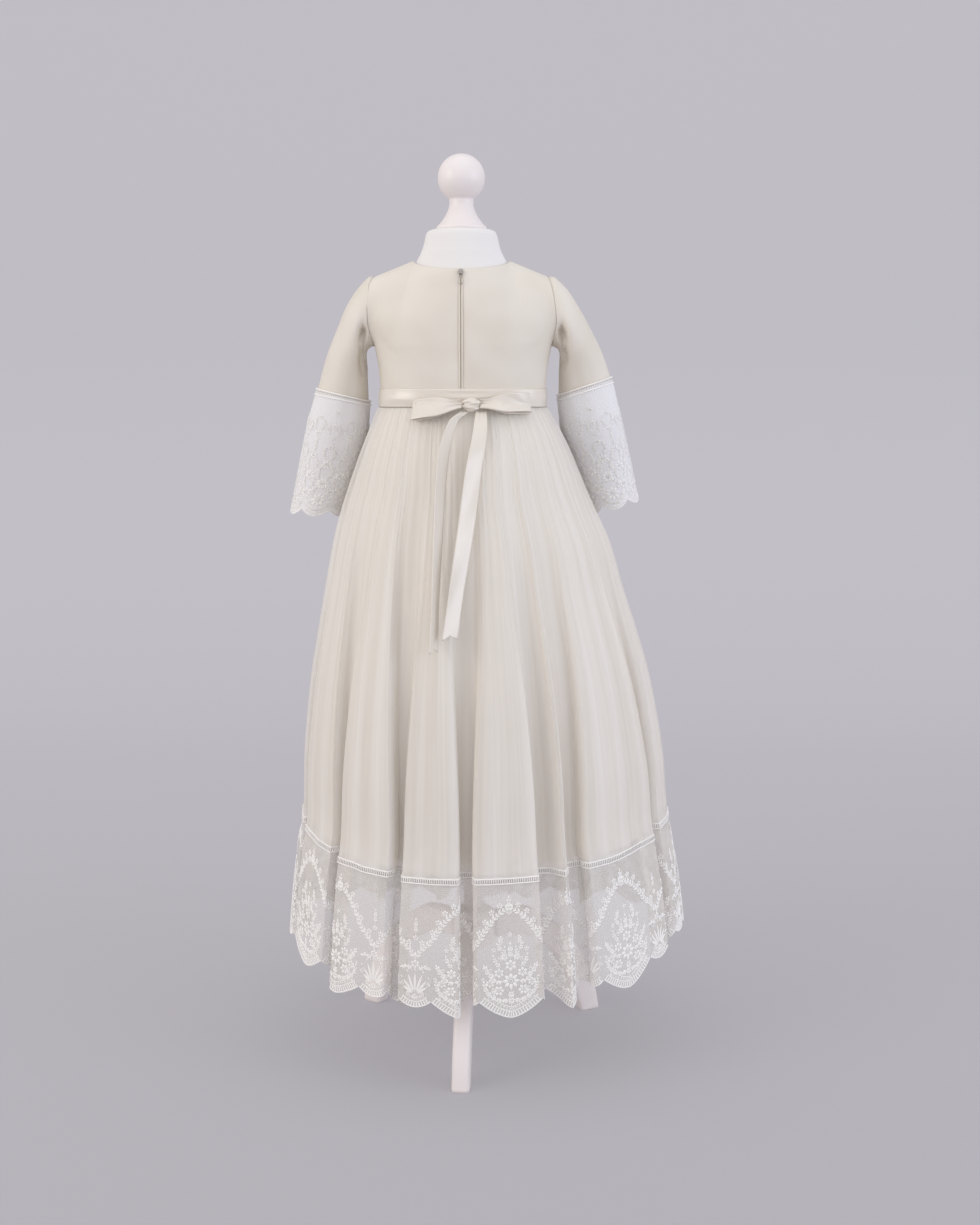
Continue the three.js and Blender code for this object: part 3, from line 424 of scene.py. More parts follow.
def hip_half(z):
    """Half of the hips' ring at a height."""
    half, back, front = eased(HIPS, z)

    def half_ring(side, share):
        quarter = share * np.pi / 2
        x = 1 + half * np.sign(share) * np.abs(np.sin(quarter)) ** (2 / ROUNDNESS)
        y = side * (back if side < 0 else front) * np.clip(np.cos(quarter), 0, 1) ** (2 / ROUNDNESS)
        return np.stack([x, y, z + 0 * x], -1)

    return half_ring


form_rings = [form_ring(neck_half(z)) for z in (917, 916.6, 915.8, 914.5, 912, 909, 905, 900, 895, 890)]
form_rings.append(form_ring(neck_foot))
for up in np.linspace(1.94, 0.1, 30):
    form_rings.append(form_ring(lambda side, share, up=up: bodice_point(side, share, up, FORM_INSET)))
form_rings.append(form_ring(lambda side, share: bodice_point(side, share, 0.0, FORM_INSET + 2.6)))
form_rings += [form_ring(hip_half(z)) for z in (715, 703, 690, 672, 655, 640, 625, 616, 608, 604, 601.5, 600)]
form_columns = len(form_rings[0])
form_points = np.concatenate(form_rings)
form_faces = grid_faces(len(form_rings), form_columns, closed=True)
form_faces.append(tuple(range(form_columns)))
form_faces.append(tuple(range(len(form_points) - 1, len(form_points) - form_columns - 1, -1)))

jersey, jersey_shader = new_material(
    "white_cotton_jersey", "#E9E6E3", 0.85, Sheen_Weight=0.25, Sheen_Roughness=0.5
)
jersey_place = add_node(jersey, "ShaderNodeTexCoord")
# Knitted wales stand upright, about 0.9 mm apart, drawn twice as coarse as real jersey so that they show.
jersey_wales = add_node(
    jersey, "ShaderNodeTexWave", {"Vector": jersey_place.outputs["Object"]},
    Scale=350.0, Distortion=1.5, Detail=1.0,
)
jersey_bump = add_node(
    jersey, "ShaderNodeBump", {"Height": jersey_wales.outputs["Fac"]}, Strength=0.15, Distance=0.0003
)
jersey.node_tree.links.new(jersey_bump.outputs["Normal"], jersey_shader.inputs["Normal"])
make_piece("jersey_form", form_points, form_faces, jersey, ["dress_form"], solid=True)

# Bodice: a front on the fold and two backs of ivory duchess satin, lined and seamed at the sides,
# shoulders and armholes. The backs meet at a concealed zip, with their turned edges standing a little proud.
satin, satin_shader = new_material(
    "ivory_duchess_satin", "#EAE5DA", 0.55, Sheen_Weight=0.3, Sheen_Roughness=0.4
)
satin_shader.inputs["Sheen Tint"].default_value = linear("#FFF8EC")
satin_shader.inputs["Specular IOR Level"].default_value = 0.35
satin_place = add_node(satin, "ShaderNodeUVMap", uv_map="cloth_mm")
# Satin floats run down the cloth. They are drawn 0.5 mm apart, coarser than real thread, so that they show.
satin_stretch = add_node(satin, "ShaderNodeMapping", {"Vector": satin_place.outputs["UV"]})
satin_stretch.inputs["Scale"].default_value = (2.0, 0.12, 1.0)
satin_floats = add_node(
    satin, "ShaderNodeTexNoise", {"Vector": satin_stretch.outputs["Vector"]}, Scale=1.0, Detail=2.0
)
satin_slubs = add_node(
    satin, "ShaderNodeTexNoise", {"Vector": satin_place.outputs["UV"]}, Scale=0.02, Detail=1.0
)
satin_fine = add_node(
    satin, "ShaderNodeBump", {"Height": satin_floats.outputs["Fac"]}, Strength=0.10, Distance=0.0002
)
satin.node_tree.links.new(satin_fine.outputs["Normal"], satin_shader.inputs["Normal"])
satin_tone = add_node(satin, "ShaderNodeValToRGB", {"Fac": satin_slubs.outputs["Fac"]})
satin_tone.color_ramp.elements[0].position = 0.3
satin_tone.color_ramp.elements[0].color = linear("#DDD5C8")
satin_tone.color_ramp.elements[1].position = 0.7
satin_tone.color_ramp.elements[1].color = linear("#E4DDD2")
satin.node_tree.links.new(satin_tone.outputs["Color"], satin_shader.inputs["Base Color"])


def cloth_grid(points, closed=False):
    """A grid of places in millimetres as a flat list, with its faces and its distances along the cloth."""
    rows, columns = points.shape[:2]
    across = np.linalg.norm(np.diff(points, axis=1), axis=-1).mean(axis=0)
    down = np.linalg.norm(np.diff(points, axis=0), axis=-1).mean(axis=1)
    u = np.concatenate([[0], np.cumsum(across)])
    v = -np.concatenate([[0], np.cumsum(down)])
    uvs = np.stack(np.broadcast_arrays(u[None, :], v[:, None]), -1).reshape(-1, 2)
    return points.reshape(-1, 3), grid_faces(rows, columns, closed), uvs


def cloth_area(points, closed=False):
    """The area in square metres of a grid of places in millimetres."""
    grid = np.concatenate([points, points[:, :1]], axis=1) if closed else points
    a, b, c, d = grid[:-1, :-1], grid[1:, :-1], grid[1:, 1:], grid[:-1, 1:]
    two = np.linalg.norm(np.cross(b - a, c - a), axis=-1) + np.linalg.norm(np.cross(c - a, d - a), axis=-1)
    return float(two.sum() / 2e6)


def thicken(piece, thickness, offset=-1.0, rim=True):
    """Gives a cloth its thickness in millimetres, inward from the outer face that was drawn."""
    shell = piece.modifiers.new("cloth_thickness", "SOLIDIFY")
    shell.thickness = thickness / 1000
    shell.offset = offset
    shell.use_rim = rim
    return shell


def soft_crease(points, start, end, width, depth, lean=(0.0, 1.0, 0.0)):
    """How far a crease from start to end moves each place: a soft trough with a rounded bottom."""
    start, end = np.array(start, float), np.array(end, float)
    along = end - start
    length = np.linalg.norm(along)
    t = np.clip(((points - start) @ along) / length**2, 0, 1)
    away = np.linalg.norm(points - (start + t[..., None] * along), axis=-1) / width
    taper = np.sin(np.pi * np.clip(t * 0.86 + 0.07, 0, 1)) ** 0.7
    return (depth * taper * np.exp(-(away**2)))[..., None] * np.array(lean)


ZIP_HALF = 1.0
bodice_ups = np.concatenate([2 - np.linspace(0, 1, 34) ** 1.25, np.linspace(0.96, 0, 22)])
# Creases of the bodice: where each starts and ends (x, y, z), half its width and its depth, all in mm.
BACK_CREASES = [
    ((-96, -30, 802), (-66, -56, 778), 5.0, 1.8),
    ((-93, -34, 790), (-72, -55, 762), 4.5, 1.4),
    ((97, -32, 800), (70, -56, 781), 5.0, 1.7),
    ((94, -36, 788), (74, -54, 764), 4.5, 1.3),
    ((-60, -60, 733), (-20, -62, 744), 5.0, 0.6),
    ((30, -62, 734), (66, -58, 745), 5.0, 0.6),
    ((-4, -55, 850), (-5, -61, 770), 5.0, 0.5),
    ((4, -55, 846), (5, -61, 764), 5.0, 0.5),
]
FRONT_CREASES = [
    ((-94, 34, 800), (-60, 62, 776), 6.0, 1.1),
    ((95, 34, 798), (62, 62, 778), 6.0, 1.0),
    ((-40, 66, 733), (-8, 69, 746), 6.0, 0.6),
    ((20, 68, 735), (52, 64, 747), 6.0, 0.6),
]


def bodice_panel(name, node, side, shares):
    """One panel of the bodice, creased a little."""
    points = bodice_point(side, shares[None, :], bodice_ups[:, None])
    for start, end, width, depth in FRONT_CREASES if side > 0 else BACK_CREASES:
        points = points + soft_crease(points, start, end, width, depth, lean=(0.0, -float(side), 0.0))
    points[..., 1] = np.maximum(points[..., 1], 0.15) if side > 0 else np.minimum(points[..., 1], -0.15)
    if side < 0 and shares[-1] == 0:
        points[:, -1, 0] = -ZIP_HALF
    if side < 0 and shares[0] == 0:
        points[:, 0, 0] = ZIP_HALF
    places, faces, uvs = cloth_grid(points)
    piece = make_piece(name, places, faces, satin, [node], uvs)
    thicken(piece, 1.0)
    width, length = np.ptp(uvs, axis=0) / 1000


bodice_panel("bodice_front_panel", "bodice_front", 1, np.linspace(1, -1, 97))
bodice_panel("bodice_back_left_panel", "bodice_back_left", -1, np.linspace(-1, 0, 49))
bodice_panel("bodice_back_right_panel", "bodice_back_right", -1, np.linspace(0, 1, 49))

# Sleeves: one flared piece of the same satin each, set into the armhole and bent forward at the elbow.
# The cloth folds at the armpit, where the arm hangs down, and long soft folds run from there to the cuff.
SLEEVES = {
    "left": [(0, -101.0, 868, -99.0, 793, 0, 30), (1, -112, 857, -104.5, 788, 2, 33),
             (2, -125, 839, -105.5, 781, 5, 35), (3, -138, 811, -105, 768, 10, 35),
             (4, -150, 783, -105, 752, 15, 34), (5, -162, 744, -105, 731, 22, 32),
             (6, -172, 713, -108, 700, 30, 32), (7, -187.5, 651, -123, 648, 48, 32),
             (8, -197.4, 609, -139, 606, 60, 33)],
    "right": [(0, 101.0, 868, 101.0, 793, 0, 30), (1, 114, 856, 106.5, 789, 2, 33),
              (2, 128, 836, 108, 783, 5, 35), (3, 142, 812, 108, 774, 10, 35),
              (4, 154, 789, 107.5, 763, 15, 34), (5, 166, 757, 108, 737, 22, 32),
              (6, 176, 719, 112, 705, 30, 32), (7, 190, 667, 131, 655, 52, 32),
              (8, 201, 622, 149, 606, 66, 32)],
}
TRIM_ROW = 5
# The armpit's folds: row of the sleeve, degrees round it from its inner edge, depth and spread.
ARMPIT_FOLDS = [(1.3, -58, 14.0, 17), (2.8, -38, 11.0, 16), (1.6, 70, 9.0, 24)]
# Finer folds on each sleeve: row, degrees round from the outer edge, depth, spread and reach in rows.
# A fold with a drift slants round the sleeve as it runs down.
SLEEVE_FOLDS = {
    "left": [(0.9, 128, 3.4, 9, 0.9, -14), (1.5, 146, 4.2, 8, 0.9, -20), (2.4, 160, 3.0, 10, 1.0, -18),
             (3.4, -118, 1.6, 14, 1.6, 6), (4.6, -84, 1.3, 16, 2.2, 4), (5.8, -130, 1.6, 14, 1.8, -5),
             (1.2, -128, 2.0, 10, 0.9, 16), (3.2, 64, 1.4, 15, 1.8, 8), (5.2, 110, 1.4, 14, 2.0, 4)],
    "right": [(0.8, 130, 3.4, 9, 0.9, -12), (1.7, 148, 4.4, 8, 0.9, -22), (2.8, 158, 2.8, 10, 1.0, -16),
              (3.6, -110, 1.5, 15, 1.8, 5), (5.0, -70, 1.3, 16, 2.2, 4), (6.2, -128, 1.7, 13, 1.7, -4),
              (1.3, -126, 2.0, 10, 0.9, 15), (3.0, 60, 1.4, 15, 1.8, 8), (5.4, 104, 1.4, 14, 2.0, 5)],
}


def armhole_x(z, sign):
    """How far out the armhole's seam lies at a height."""
    return np.abs(eased(ARMHOLE, z)[..., 0 if sign < 0 else 1])


def sleeve_point(name, row, turn, out=0.0):
    """The sleeve's surface: row 0 at the armhole to 8 at the cuff's end, turn 0 to 1 round it from +X."""
    row, turn = np.broadcast_arrays(np.asarray(row, float), np.asarray(turn, float))
    sign = -1 if name == "left" else 1
    outer, outer_z, inner, inner_z, forward, half = np.moveaxis(eased(SLEEVES[name], row), -1, 0)
    start, end = ((outer, outer_z), (inner, inner_z)) if sign < 0 else ((inner, inner_z), (outer, outer_z))
    degrees = turn * 360
    dent = np.zeros_like(row)
    for at, place, depth, spread in ARMPIT_FOLDS:
        away = (degrees - (place if sign < 0 else 180 - place) + 180) % 360 - 180
        dent = dent + depth * np.exp(-((away / spread) ** 2) - ((row - at) / 0.8) ** 2)
    for at, place, depth, spread, reach, drift in SLEEVE_FOLDS[name]:
        # Places are counted from the outer edge, the same way for both sleeves.
        centre = (180 + place if sign < 0 else -place) + sign * drift * (row - at)
        away = (degrees - centre + 180) % 360 - 180
        along = np.exp(-(((row - at) / reach) ** 2))
        trough = np.exp(-((away / spread) ** 2))
        banks = np.exp(-((away / spread / 2) ** 2))
        dent = dent + depth * along * (trough - 0.45 * banks)
    settle = np.clip(row, 0, 1) ** 2 * (3 - 2 * np.clip(row, 0, 1))
    c, s = np.cos(turn * 2 * np.pi), np.sin(turn * 2 * np.pi)
    pull = 1 - dent * settle / half
    x = (outer + inner) / 2 + (end[0] - start[0]) / 2 * c * pull + out * c
    z = (outer_z + inner_z) / 2 + (end[1] - start[1]) / 2 * c * pull
    y = forward + (half * pull + out) * s
    seam_x = sign * (armhole_x(z, sign) + 0.3)
    return np.stack([np.where(row <= 0.001, seam_x, sign * np.maximum(np.abs(x), np.abs(seam_x))), y, z], -1)


sleeve_grids = {}
for name in SLEEVES:
    rows = np.concatenate([np.linspace(0, 1, 14)[:-1] ** 1.3, np.linspace(1, 7.86, 84)])
    turns = np.arange(96) / 96
    points = sleeve_point(name, rows[:, None], turns[None, :])
    sleeve_grids[name] = points
    places, faces, uvs = cloth_grid(points, closed=True)
    sleeve = make_piece(f"sleeve_{name}_panel", places, faces, satin, [f"sleeve_{name}"], uvs)
    thicken(sleeve, 1.0)
    round_cuff = np.linalg.norm(np.diff(points[-1], axis=0, append=points[-1][:1]), axis=-1).sum() / 1000
    sleeve_area = cloth_area(points, closed=True)

# Sash: double-faced satin ribbon, 20 mm wide, laid on the bodice's lower edge and tied behind.
# The weave runs along it, so that it shines in soft bands and puckers a little where it is pulled.
SASH_OUT = 1.5
SASH_WIDTH = 20.0
ribbon, ribbon_shader = new_material(
    "ivory_satin_ribbon", "#E8E1D6", 0.24, Specular_IOR_Level=0.7, Sheen_Weight=0.2, Anisotropic=0.6
)
ribbon_place = add_node(ribbon, "ShaderNodeUVMap", uv_map="cloth_mm")
ribbon_stretch = add_node(ribbon, "ShaderNodeMapping", {"Vector": ribbon_place.outputs["UV"]})
ribbon_stretch.inputs["Scale"].default_value = (0.06, 2.2, 1.0)
# Weft floats, 0.45 mm apart across the ribbon, coarser than the real ones so that they show.
ribbon_floats = add_node(
    ribbon, "ShaderNodeTexNoise", {"Vector": ribbon_stretch.outputs["Vector"]}, Scale=1.0, Detail=2.0
)
ribbon_bump = add_node(
    ribbon, "ShaderNodeBump", {"Height": ribbon_floats.outputs["Fac"]}, Strength=0.12, Distance=0.0002
)
ribbon.node_tree.links.new(ribbon_bump.outputs["Normal"], ribbon_shader.inputs["Normal"])
ribbon_tone = add_node(ribbon, "ShaderNodeValToRGB", {"Fac": ribbon_floats.outputs["Fac"]})
ribbon_tone.color_ramp.elements[0].color = linear("#DBD2C5")
ribbon_tone.color_ramp.elements[1].color = linear("#E9E1D6")
ribbon.node_tree.links.new(ribbon_tone.outputs["Color"], ribbon_shader.inputs["Base Color"])


def body_ring(z, turn, out):
    """The waist's rounded oval at a height, moved out from the bodice."""
    middle, half, back, front = np.moveaxis(eased(BODY, z), -1, 0)
    c, s = np.cos(turn), np.sin(turn)
    x = middle + (half + out) * np.sign(c) * np.abs(c) ** (2 / ROUNDNESS)
    y = (np.where(s < 0, back, front) + out) * np.sign(s) * np.abs(s) ** (2 / ROUNDNESS)
    return np.stack([x, y, z + 0 * x], -1)


sash_turns = np.linspace(0, 2 * np.pi, 361)[:-1]
sash_rows = np.linspace(0, 1, 13)
sash_z = WAIST_Z + SASH_WIDTH * (1 - sash_rows[:, None]) + 0 * sash_turns
# The ribbon bellies between its edges, and shallow pulls run along it towards the knot.
belly = 0.5 * np.sin(np.pi * sash_rows)[:, None]
pulls = 0.38 * np.sin(sash_rows[:, None] * 9 + 3 * np.sin(sash_turns * 2))
pulls = pulls * (1 + np.sin(sash_turns * 5 + 1)) / 2
near_knot = np.exp(-(((sash_turns - 1.5 * np.pi - 0.1) / 0.22) ** 2))
gathered = 0.5 * near_knot * np.sin(sash_rows[:, None] * 17)
sash_points = body_ring(sash_z, sash_turns[None, :] + 0 * sash_z, SASH_OUT + belly + pulls + gathered)
places, faces, uvs = cloth_grid(sash_points, closed=True)
sash = make_piece("sash_ribbon", places, faces, ribbon, ["sash"], uvs)
thicken(sash, 0.8)

# Skirt lining: a plain flared tube of ivory satin sewn into the waist seam under the net.
# It hangs in fewer and shallower folds than the net and ends in a narrow hem above the lace.
SKIRT = [(727, 90, 92, 61, 65), (700, 101, 107.5, 79, 82), (675, 111, 120, 92, 95),
         (646, 121.5, 132.5, 104, 107), (618, 131, 145, 113, 117), (579, 141.5, 163, 125, 129),
         (530, 151, 177.5, 137, 141),
         (480, 160, 194, 148, 151), (430, 168.5, 208.5, 157, 160), (380, 174.5, 219, 163, 166),
         (330, 178.5, 227, 168, 171), (280, 180, 231, 171, 174), (230, 188, 240, 175, 178),
         (180, 194, 248.5, 178, 181), (80, 203, 260, 182, 185)]
VALLEYS = [(-163, 6, 18), (-137, 7, 22), (-111.5, 8, 27), (-88.5, 7.5, 25), (-68.5, 5, 22), (-57.5, 7, 20),
           (-24, 8, 22), (0, 7, 18), (25, 7.5, 22), (50, 7, 25), (74, 8, 26), (99, 7, 23), (127, 8, 26),
           (153, 7, 21)]


def smooth_step(t):
    """0 to 1 with soft ends, held outside them."""
    t = np.clip(t, 0, 1)
    return t * t * (3 - 2 * t)


def valley_depth(degrees, spread=1.0):
    """How deep the valleys between the large folds run at an angle, at their full size."""
    total = np.zeros_like(np.asarray(degrees, float))
    for centre, half, depth in VALLEYS:
        away = np.abs((degrees - centre + 180) % 360 - 180) / (half * spread)
        total = total + np.where(away < 1, depth * np.cos(np.clip(away, 0, 1) * np.pi / 2) ** 2, 0)
    return total


def fold_share(z):
    """How far the large folds have opened at a height, none near the waist and all at the hem."""
    return smooth_step((690 - z) / 440) ** 0.8


def skirt_point(degrees, z, out):
    """The skirt's surface at an angle and a height, moved out from its plain oval."""
    degrees, z, out = np.broadcast_arrays(*(np.asarray(a, float) for a in (degrees, z, out)))
    left, right, back, front = np.moveaxis(eased(SKIRT, z), -1, 0)
    c, s = np.cos(np.radians(degrees)), np.sin(np.radians(degrees))
    exponent = 2 / (ROUNDNESS + (2 - ROUNDNESS) * np.clip((WAIST_Z - z) / 90, 0, 1))
    x = (np.where(c < 0, left, right) + out) * np.sign(c) * np.abs(c) ** exponent
    y = (np.where(s < 0, back, front) + out) * np.sign(s) * np.abs(s) ** exponent
    return np.stack([x, y, z], -1)


lining, lining_shader = new_material("ivory_lining_satin", "#E9E3D8", 0.5, Sheen_Weight=0.2)
lining_place = add_node(lining, "ShaderNodeUVMap", uv_map="cloth_mm")
lining_stretch = add_node(lining, "ShaderNodeMapping", {"Vector": lining_place.outputs["UV"]})
lining_stretch.inputs["Scale"].default_value = (1.6, 0.05, 1.0)
# Warp threads, drawn 0.6 mm apart so that they show.
lining_threads = add_node(
    lining, "ShaderNodeTexNoise", {"Vector": lining_stretch.outputs["Vector"]}, Scale=1.0, Detail=2.0
)
lining_bump = add_node(
    lining, "ShaderNodeBump", {"Height": lining_threads.outputs["Fac"]}, Strength=0.1, Distance=0.0002
)
lining.node_tree.links.new(lining_bump.outputs["Normal"], lining_shader.inputs["Normal"])
lining_tone = add_node(lining, "ShaderNodeValToRGB", {"Fac": lining_threads.outputs["Fac"]})
lining_tone.color_ramp.elements[0].color = linear("#EAE2D5")
lining_tone.color_ramp.elements[1].color = linear("#F1EBE1")
lining.node_tree.links.new(lining_tone.outputs["Color"], lining_shader.inputs["Base Color"])

LINING_BOTTOM = 250.0
lining_degrees = np.arange(400) / 400 * 360 - 180
lining_z = np.linspace(WAIST_Z - 0.3, LINING_BOTTOM, 48)
near = [valley_depth(lining_degrees + turn) for turn in (-3, 0, 3)]
lining_valley = np.max(near, axis=0)[None, :] * fold_share(lining_z)[:, None] * 0.7
inset = 1.3 + (13 - 1.3) * np.clip((WAIST_Z - lining_z) / 150, 0, 1)
# Slight uneven fullness, and a hem turned up 15 mm that stands a hair proud.
fullness = 1.2 * np.sin(np.radians(lining_degrees * 17 + 20))
fullness = fullness + 0.8 * np.sin(np.radians(lining_degrees * 29 + 70))
fullness = fullness[None, :] * smooth_step((700 - lining_z) / 250)[:, None]
turned_hem = 0.5 * smooth_step((LINING_BOTTOM + 15 - lining_z) / 1.5)
lining_out = -lining_valley - inset[:, None] + fullness - 1.0 + turned_hem[:, None]
lining_points = skirt_point(lining_degrees[None, :], lining_z[:, None], lining_out)
places, faces, uvs = cloth_grid(lining_points, closed=True)
lining_piece = make_piece("skirt_lining_panel", places, faces, lining, ["skirt_lining"], uvs)
thicken(lining_piece, 0.6)

# Skirt net: two layers of soft tulle, gathered tightly into the waist seam.
# The gathers melt into fine upright pleats, and these into large flutes whose edges lap over narrow valleys.
bpy.context.scene.cycles.transparent_max_bounces = 40


def flute(degrees):
    """How deep the net's own flutes are at an angle, and how far their rims lap sideways over the valleys,
    in degrees: the flanks are hidden behind the rims, so that a valley shows as a narrow strip."""
    total = np.zeros_like(np.asarray(degrees, float))
    lap = np.zeros_like(total)
    for centre, half, depth in VALLEYS:
        away = ((degrees - centre + 180) % 360 - 180) / (half * 0.92)
        far = np.abs(away)
        total = total + np.where(far < 1, depth * (1 - np.clip(far, 0, 1) ** 2.6), 0)
        rim = smooth_step((far - 0.38) / 0.55) * (1 - smooth_step((far - 1.0) / 0.6))
        lap = lap - np.sign(away) * 0.6 * half * rim
    return total, lap


# How the hem's length runs round the skirt, from 0 to 1, so that cloth and lace are spread evenly along it.
fine_degrees = np.linspace(-180, 180, 2881)
fine_depth, fine_lap = flute(fine_degrees)
hem_line = skirt_point(fine_degrees + fine_lap, 200.0, -fine_depth)
hem_run = np.concatenate([[0], np.cumsum(np.linalg.norm(np.diff(hem_line, axis=0), axis=-1))])
HEM_LENGTH = hem_run[-1]


def share_to_degrees(share):
    """The angle at which a share of the hem's length hangs."""
    turns = np.floor(share)
    return np.interp((share - turns) * HEM_LENGTH, hem_run, fine_degrees) + 360 * turns


def net_point(share, z, out=0.0):
    """The net's surface at a share of the hem's length and a height."""
    share, z, out = np.broadcast_arrays(*(np.asarray(a, float) for a in (share, z, out)))
    degrees = share_to_degrees(share)
    opened = fold_share(z)
    depth, lap = flute(degrees)
    turn = 2 * np.pi * share
    growth = np.minimum(1, 0.45 + (WAIST_Z - z) / 60)
    fade = 1 - 0.9 * smooth_step((WAIST_Z - z) / (WAIST_Z - 400))
    gathers = 0.5 * np.sin(36 * turn + 2.2 * np.sin(3 * turn))
    gathers = gathers + 0.32 * np.sin(97 * turn + 2.0 * np.sin(5 * turn))
    gathers = gathers + 0.16 * np.sin(163 * turn + 1.5 * np.sin(11 * turn + 1))
    broad = 0.34 * np.sin(53 * turn + 2.5 * np.sin(7 * turn)) * (0.55 + 0.45 * np.sin(9 * turn + z / 160))
    narrow = 0.16 * np.sin(89 * turn + 3 * np.sin(4 * turn + 2)) * (0.5 + 0.5 * np.sin(6 * turn - z / 210))
    middle = smooth_step((WAIST_Z - z) / 140) * (1 - 0.45 * smooth_step((330 - z) / 150))
    away = gathers * fade * growth + (broad + narrow) * middle
    return skirt_point(degrees + lap * opened**1.5, z, away - depth * opened + 2.4 + out)


TRIM_EDGE = (240.0, 246.0, 28.0)
HEM_EDGE = (104.0, 108.0, 38.0)


def edge_height(edge, degrees):
    """The height of the trim or the hem at an angle: lowest behind and before, lifted at the sides."""
    back, front, side = edge
    s = np.sin(np.radians(degrees))
    return back + (front - back) * (s + 1) / 2 + side * (1 - s * s) ** 1.5


tulle, tulle_shader = new_material(
    "soft_ivory_tulle", "#F1EDEA", 0.7, Sheen_Weight=0.35, Sheen_Roughness=0.35
)
tulle_shader.inputs["Sheen Tint"].default_value = linear("#FFFAF4")
tulle_place = add_node(tulle, "ShaderNodeUVMap", uv_map="cloth_mm")
tulle_stretch = add_node(tulle, "ShaderNodeMapping", {"Vector": tulle_place.outputs["UV"]})
tulle_stretch.inputs["Scale"].default_value = (0.075, 0.0016, 1.0)
# Upright streaks, about 13 mm wide and hundreds long, where the net's threads close up along each pleat.
tulle_streaks = add_node(
    tulle, "ShaderNodeTexNoise", {"Vector": tulle_stretch.outputs["Vector"]},
    Scale=1.0, Detail=4.0, Roughness=0.55,
)
tulle_cover = add_node(
    tulle, "ShaderNodeMapRange", {"Value": tulle_streaks.outputs["Fac"]},
    From_Min=0.3, From_Max=0.7, To_Min=0.50, To_Max=0.60,
)
tulle.node_tree.links.new(tulle_cover.outputs["Result"], tulle_shader.inputs["Alpha"])
tulle_tone = add_node(tulle, "ShaderNodeValToRGB", {"Fac": tulle_streaks.outputs["Fac"]})
tulle_tone.color_ramp.elements[0].position = 0.3
tulle_tone.color_ramp.elements[0].color = linear("#F5EEE4")
tulle_tone.color_ramp.elements[1].position = 0.7
tulle_tone.color_ramp.elements[1].color = linear("#FAF6F0")
tulle.node_tree.links.new(tulle_tone.outputs["Color"], tulle_shader.inputs["Base Color"])


def net_layer(name, columns, rows, out, bottom, nodes):
    """One layer of the net, from the waist seam down to a height that follows the hem's trim."""
    shares = np.arange(columns) / columns
    falls = np.linspace(0, 1, rows) ** 1.15
    low = edge_height(TRIM_EDGE, share_to_degrees(shares)) + bottom
    z = WAIST_Z - 0.3 + (low[None, :] - WAIST_Z + 0.3) * falls[:, None]
    points = net_point(shares[None, :], z, out)
    places, faces, _ = cloth_grid(points, closed=True)
    down = np.concatenate([[0], np.cumsum(np.linalg.norm(np.diff(points, axis=0), axis=-1).mean(axis=1))])
    uvs = np.stack(np.broadcast_arrays(shares[None, :] * HEM_LENGTH, -down[:, None]), -1).reshape(-1, 2)
    layer = make_piece(name, places, faces, tulle, nodes, uvs)
    return layer, points


net_outer, net_outer_points = net_layer("skirt_net_outer", 1440, 54, 0.0, 3.3, ["skirt_net"])
net_inner, net_inner_points = net_layer("skirt_net_inner", 1000, 36, -5.0, 6.0, [])
for layer, points in ((net_outer, net_outer_points), (net_inner, net_inner_points)):
    net_area = cloth_area(points, closed=True)

# Hem trim: ladder insertion between the net and the lace: two corded edges with small bars between them.
# It is white cotton, about 7 mm wide, and follows every fold of the skirt.
cotton, cotton_shader = new_material("white_embroidery_cotton", "#F6F3EF", 0.6, Sheen_Weight=0.3)
cotton_place = add_node(cotton, "ShaderNodeTexCoord")
# Stitches lie side by side, drawn 0.6 mm apart.
cotton_stitches = add_node(
    cotton, "ShaderNodeTexNoise", {"Vector": cotton_place.outputs["Object"]}, Scale=1600.0, Detail=1.0
)
cotton_bump = add_node(
    cotton, "ShaderNodeBump", {"Height": cotton_stitches.outputs["Fac"]}, Strength=0.3, Distance=0.0002
)
cotton.node_tree.links.new(cotton_bump.outputs["Normal"], cotton_shader.inputs["Normal"])


def frames_along(path, closed):
    """The direction along a path at each of its points."""
    if closed:
        ahead, behind = np.roll(path, -1, axis=0), np.roll(path, 1, axis=0)
    else:
        ahead = np.concatenate([path[1:], path[-1:]])
        behind = np.concatenate([path[:1], path[:-1]])
    along = ahead - behind
    return along / np.maximum(np.linalg.norm(along, axis=-1, keepdims=True), 1e-9)


def cord(path, outward, radius, sides=6, closed=True):
    """A cord's points and faces round a path, with outward the direction away from the cloth."""
    along = frames_along(path, closed)
    side = np.cross(along, outward)
    side = side / np.maximum(np.linalg.norm(side, axis=-1, keepdims=True), 1e-9)
    lift = np.cross(side, along)
    turn = np.arange(sides) / sides * 2 * np.pi
    ring = np.cos(turn)[None, :, None] * side[:, None, :] + np.sin(turn)[None, :, None] * lift[:, None, :]
    points = (path[:, None, :] + np.reshape(radius, (-1, 1, 1)) * ring).reshape(-1, 3)
    count = len(path)
    faces = []
    for r in range(count if closed else count - 1):
        here, there = r * sides, (r + 1) % count * sides
        for c in range(sides):
            after = (c + 1) % sides
            faces.append((here + c, here + after, there + after, there + c))
    if not closed:
        faces += [tuple(range(sides - 1, -1, -1)), tuple(range((count - 1) * sides, count * sides))]
    return points, faces


class Stitchwork:
    """Collects many small raised shapes into one mesh."""

    def __init__(self):
        self.points, self.faces, self.count = [], [], 0

    def add(self, points, faces):
        """Adds a shape's points and its faces, which count from the shape's own first point."""
        self.points.append(np.asarray(points, float).reshape(-1, 3))
        self.faces.extend(tuple(i + self.count for i in face) for face in faces)
        self.count += len(self.points[-1])

    def piece(self, name, material, slot, nodes):
        """Makes the one piece."""
        return make_piece(name, np.concatenate(self.points), self.faces, material, nodes)


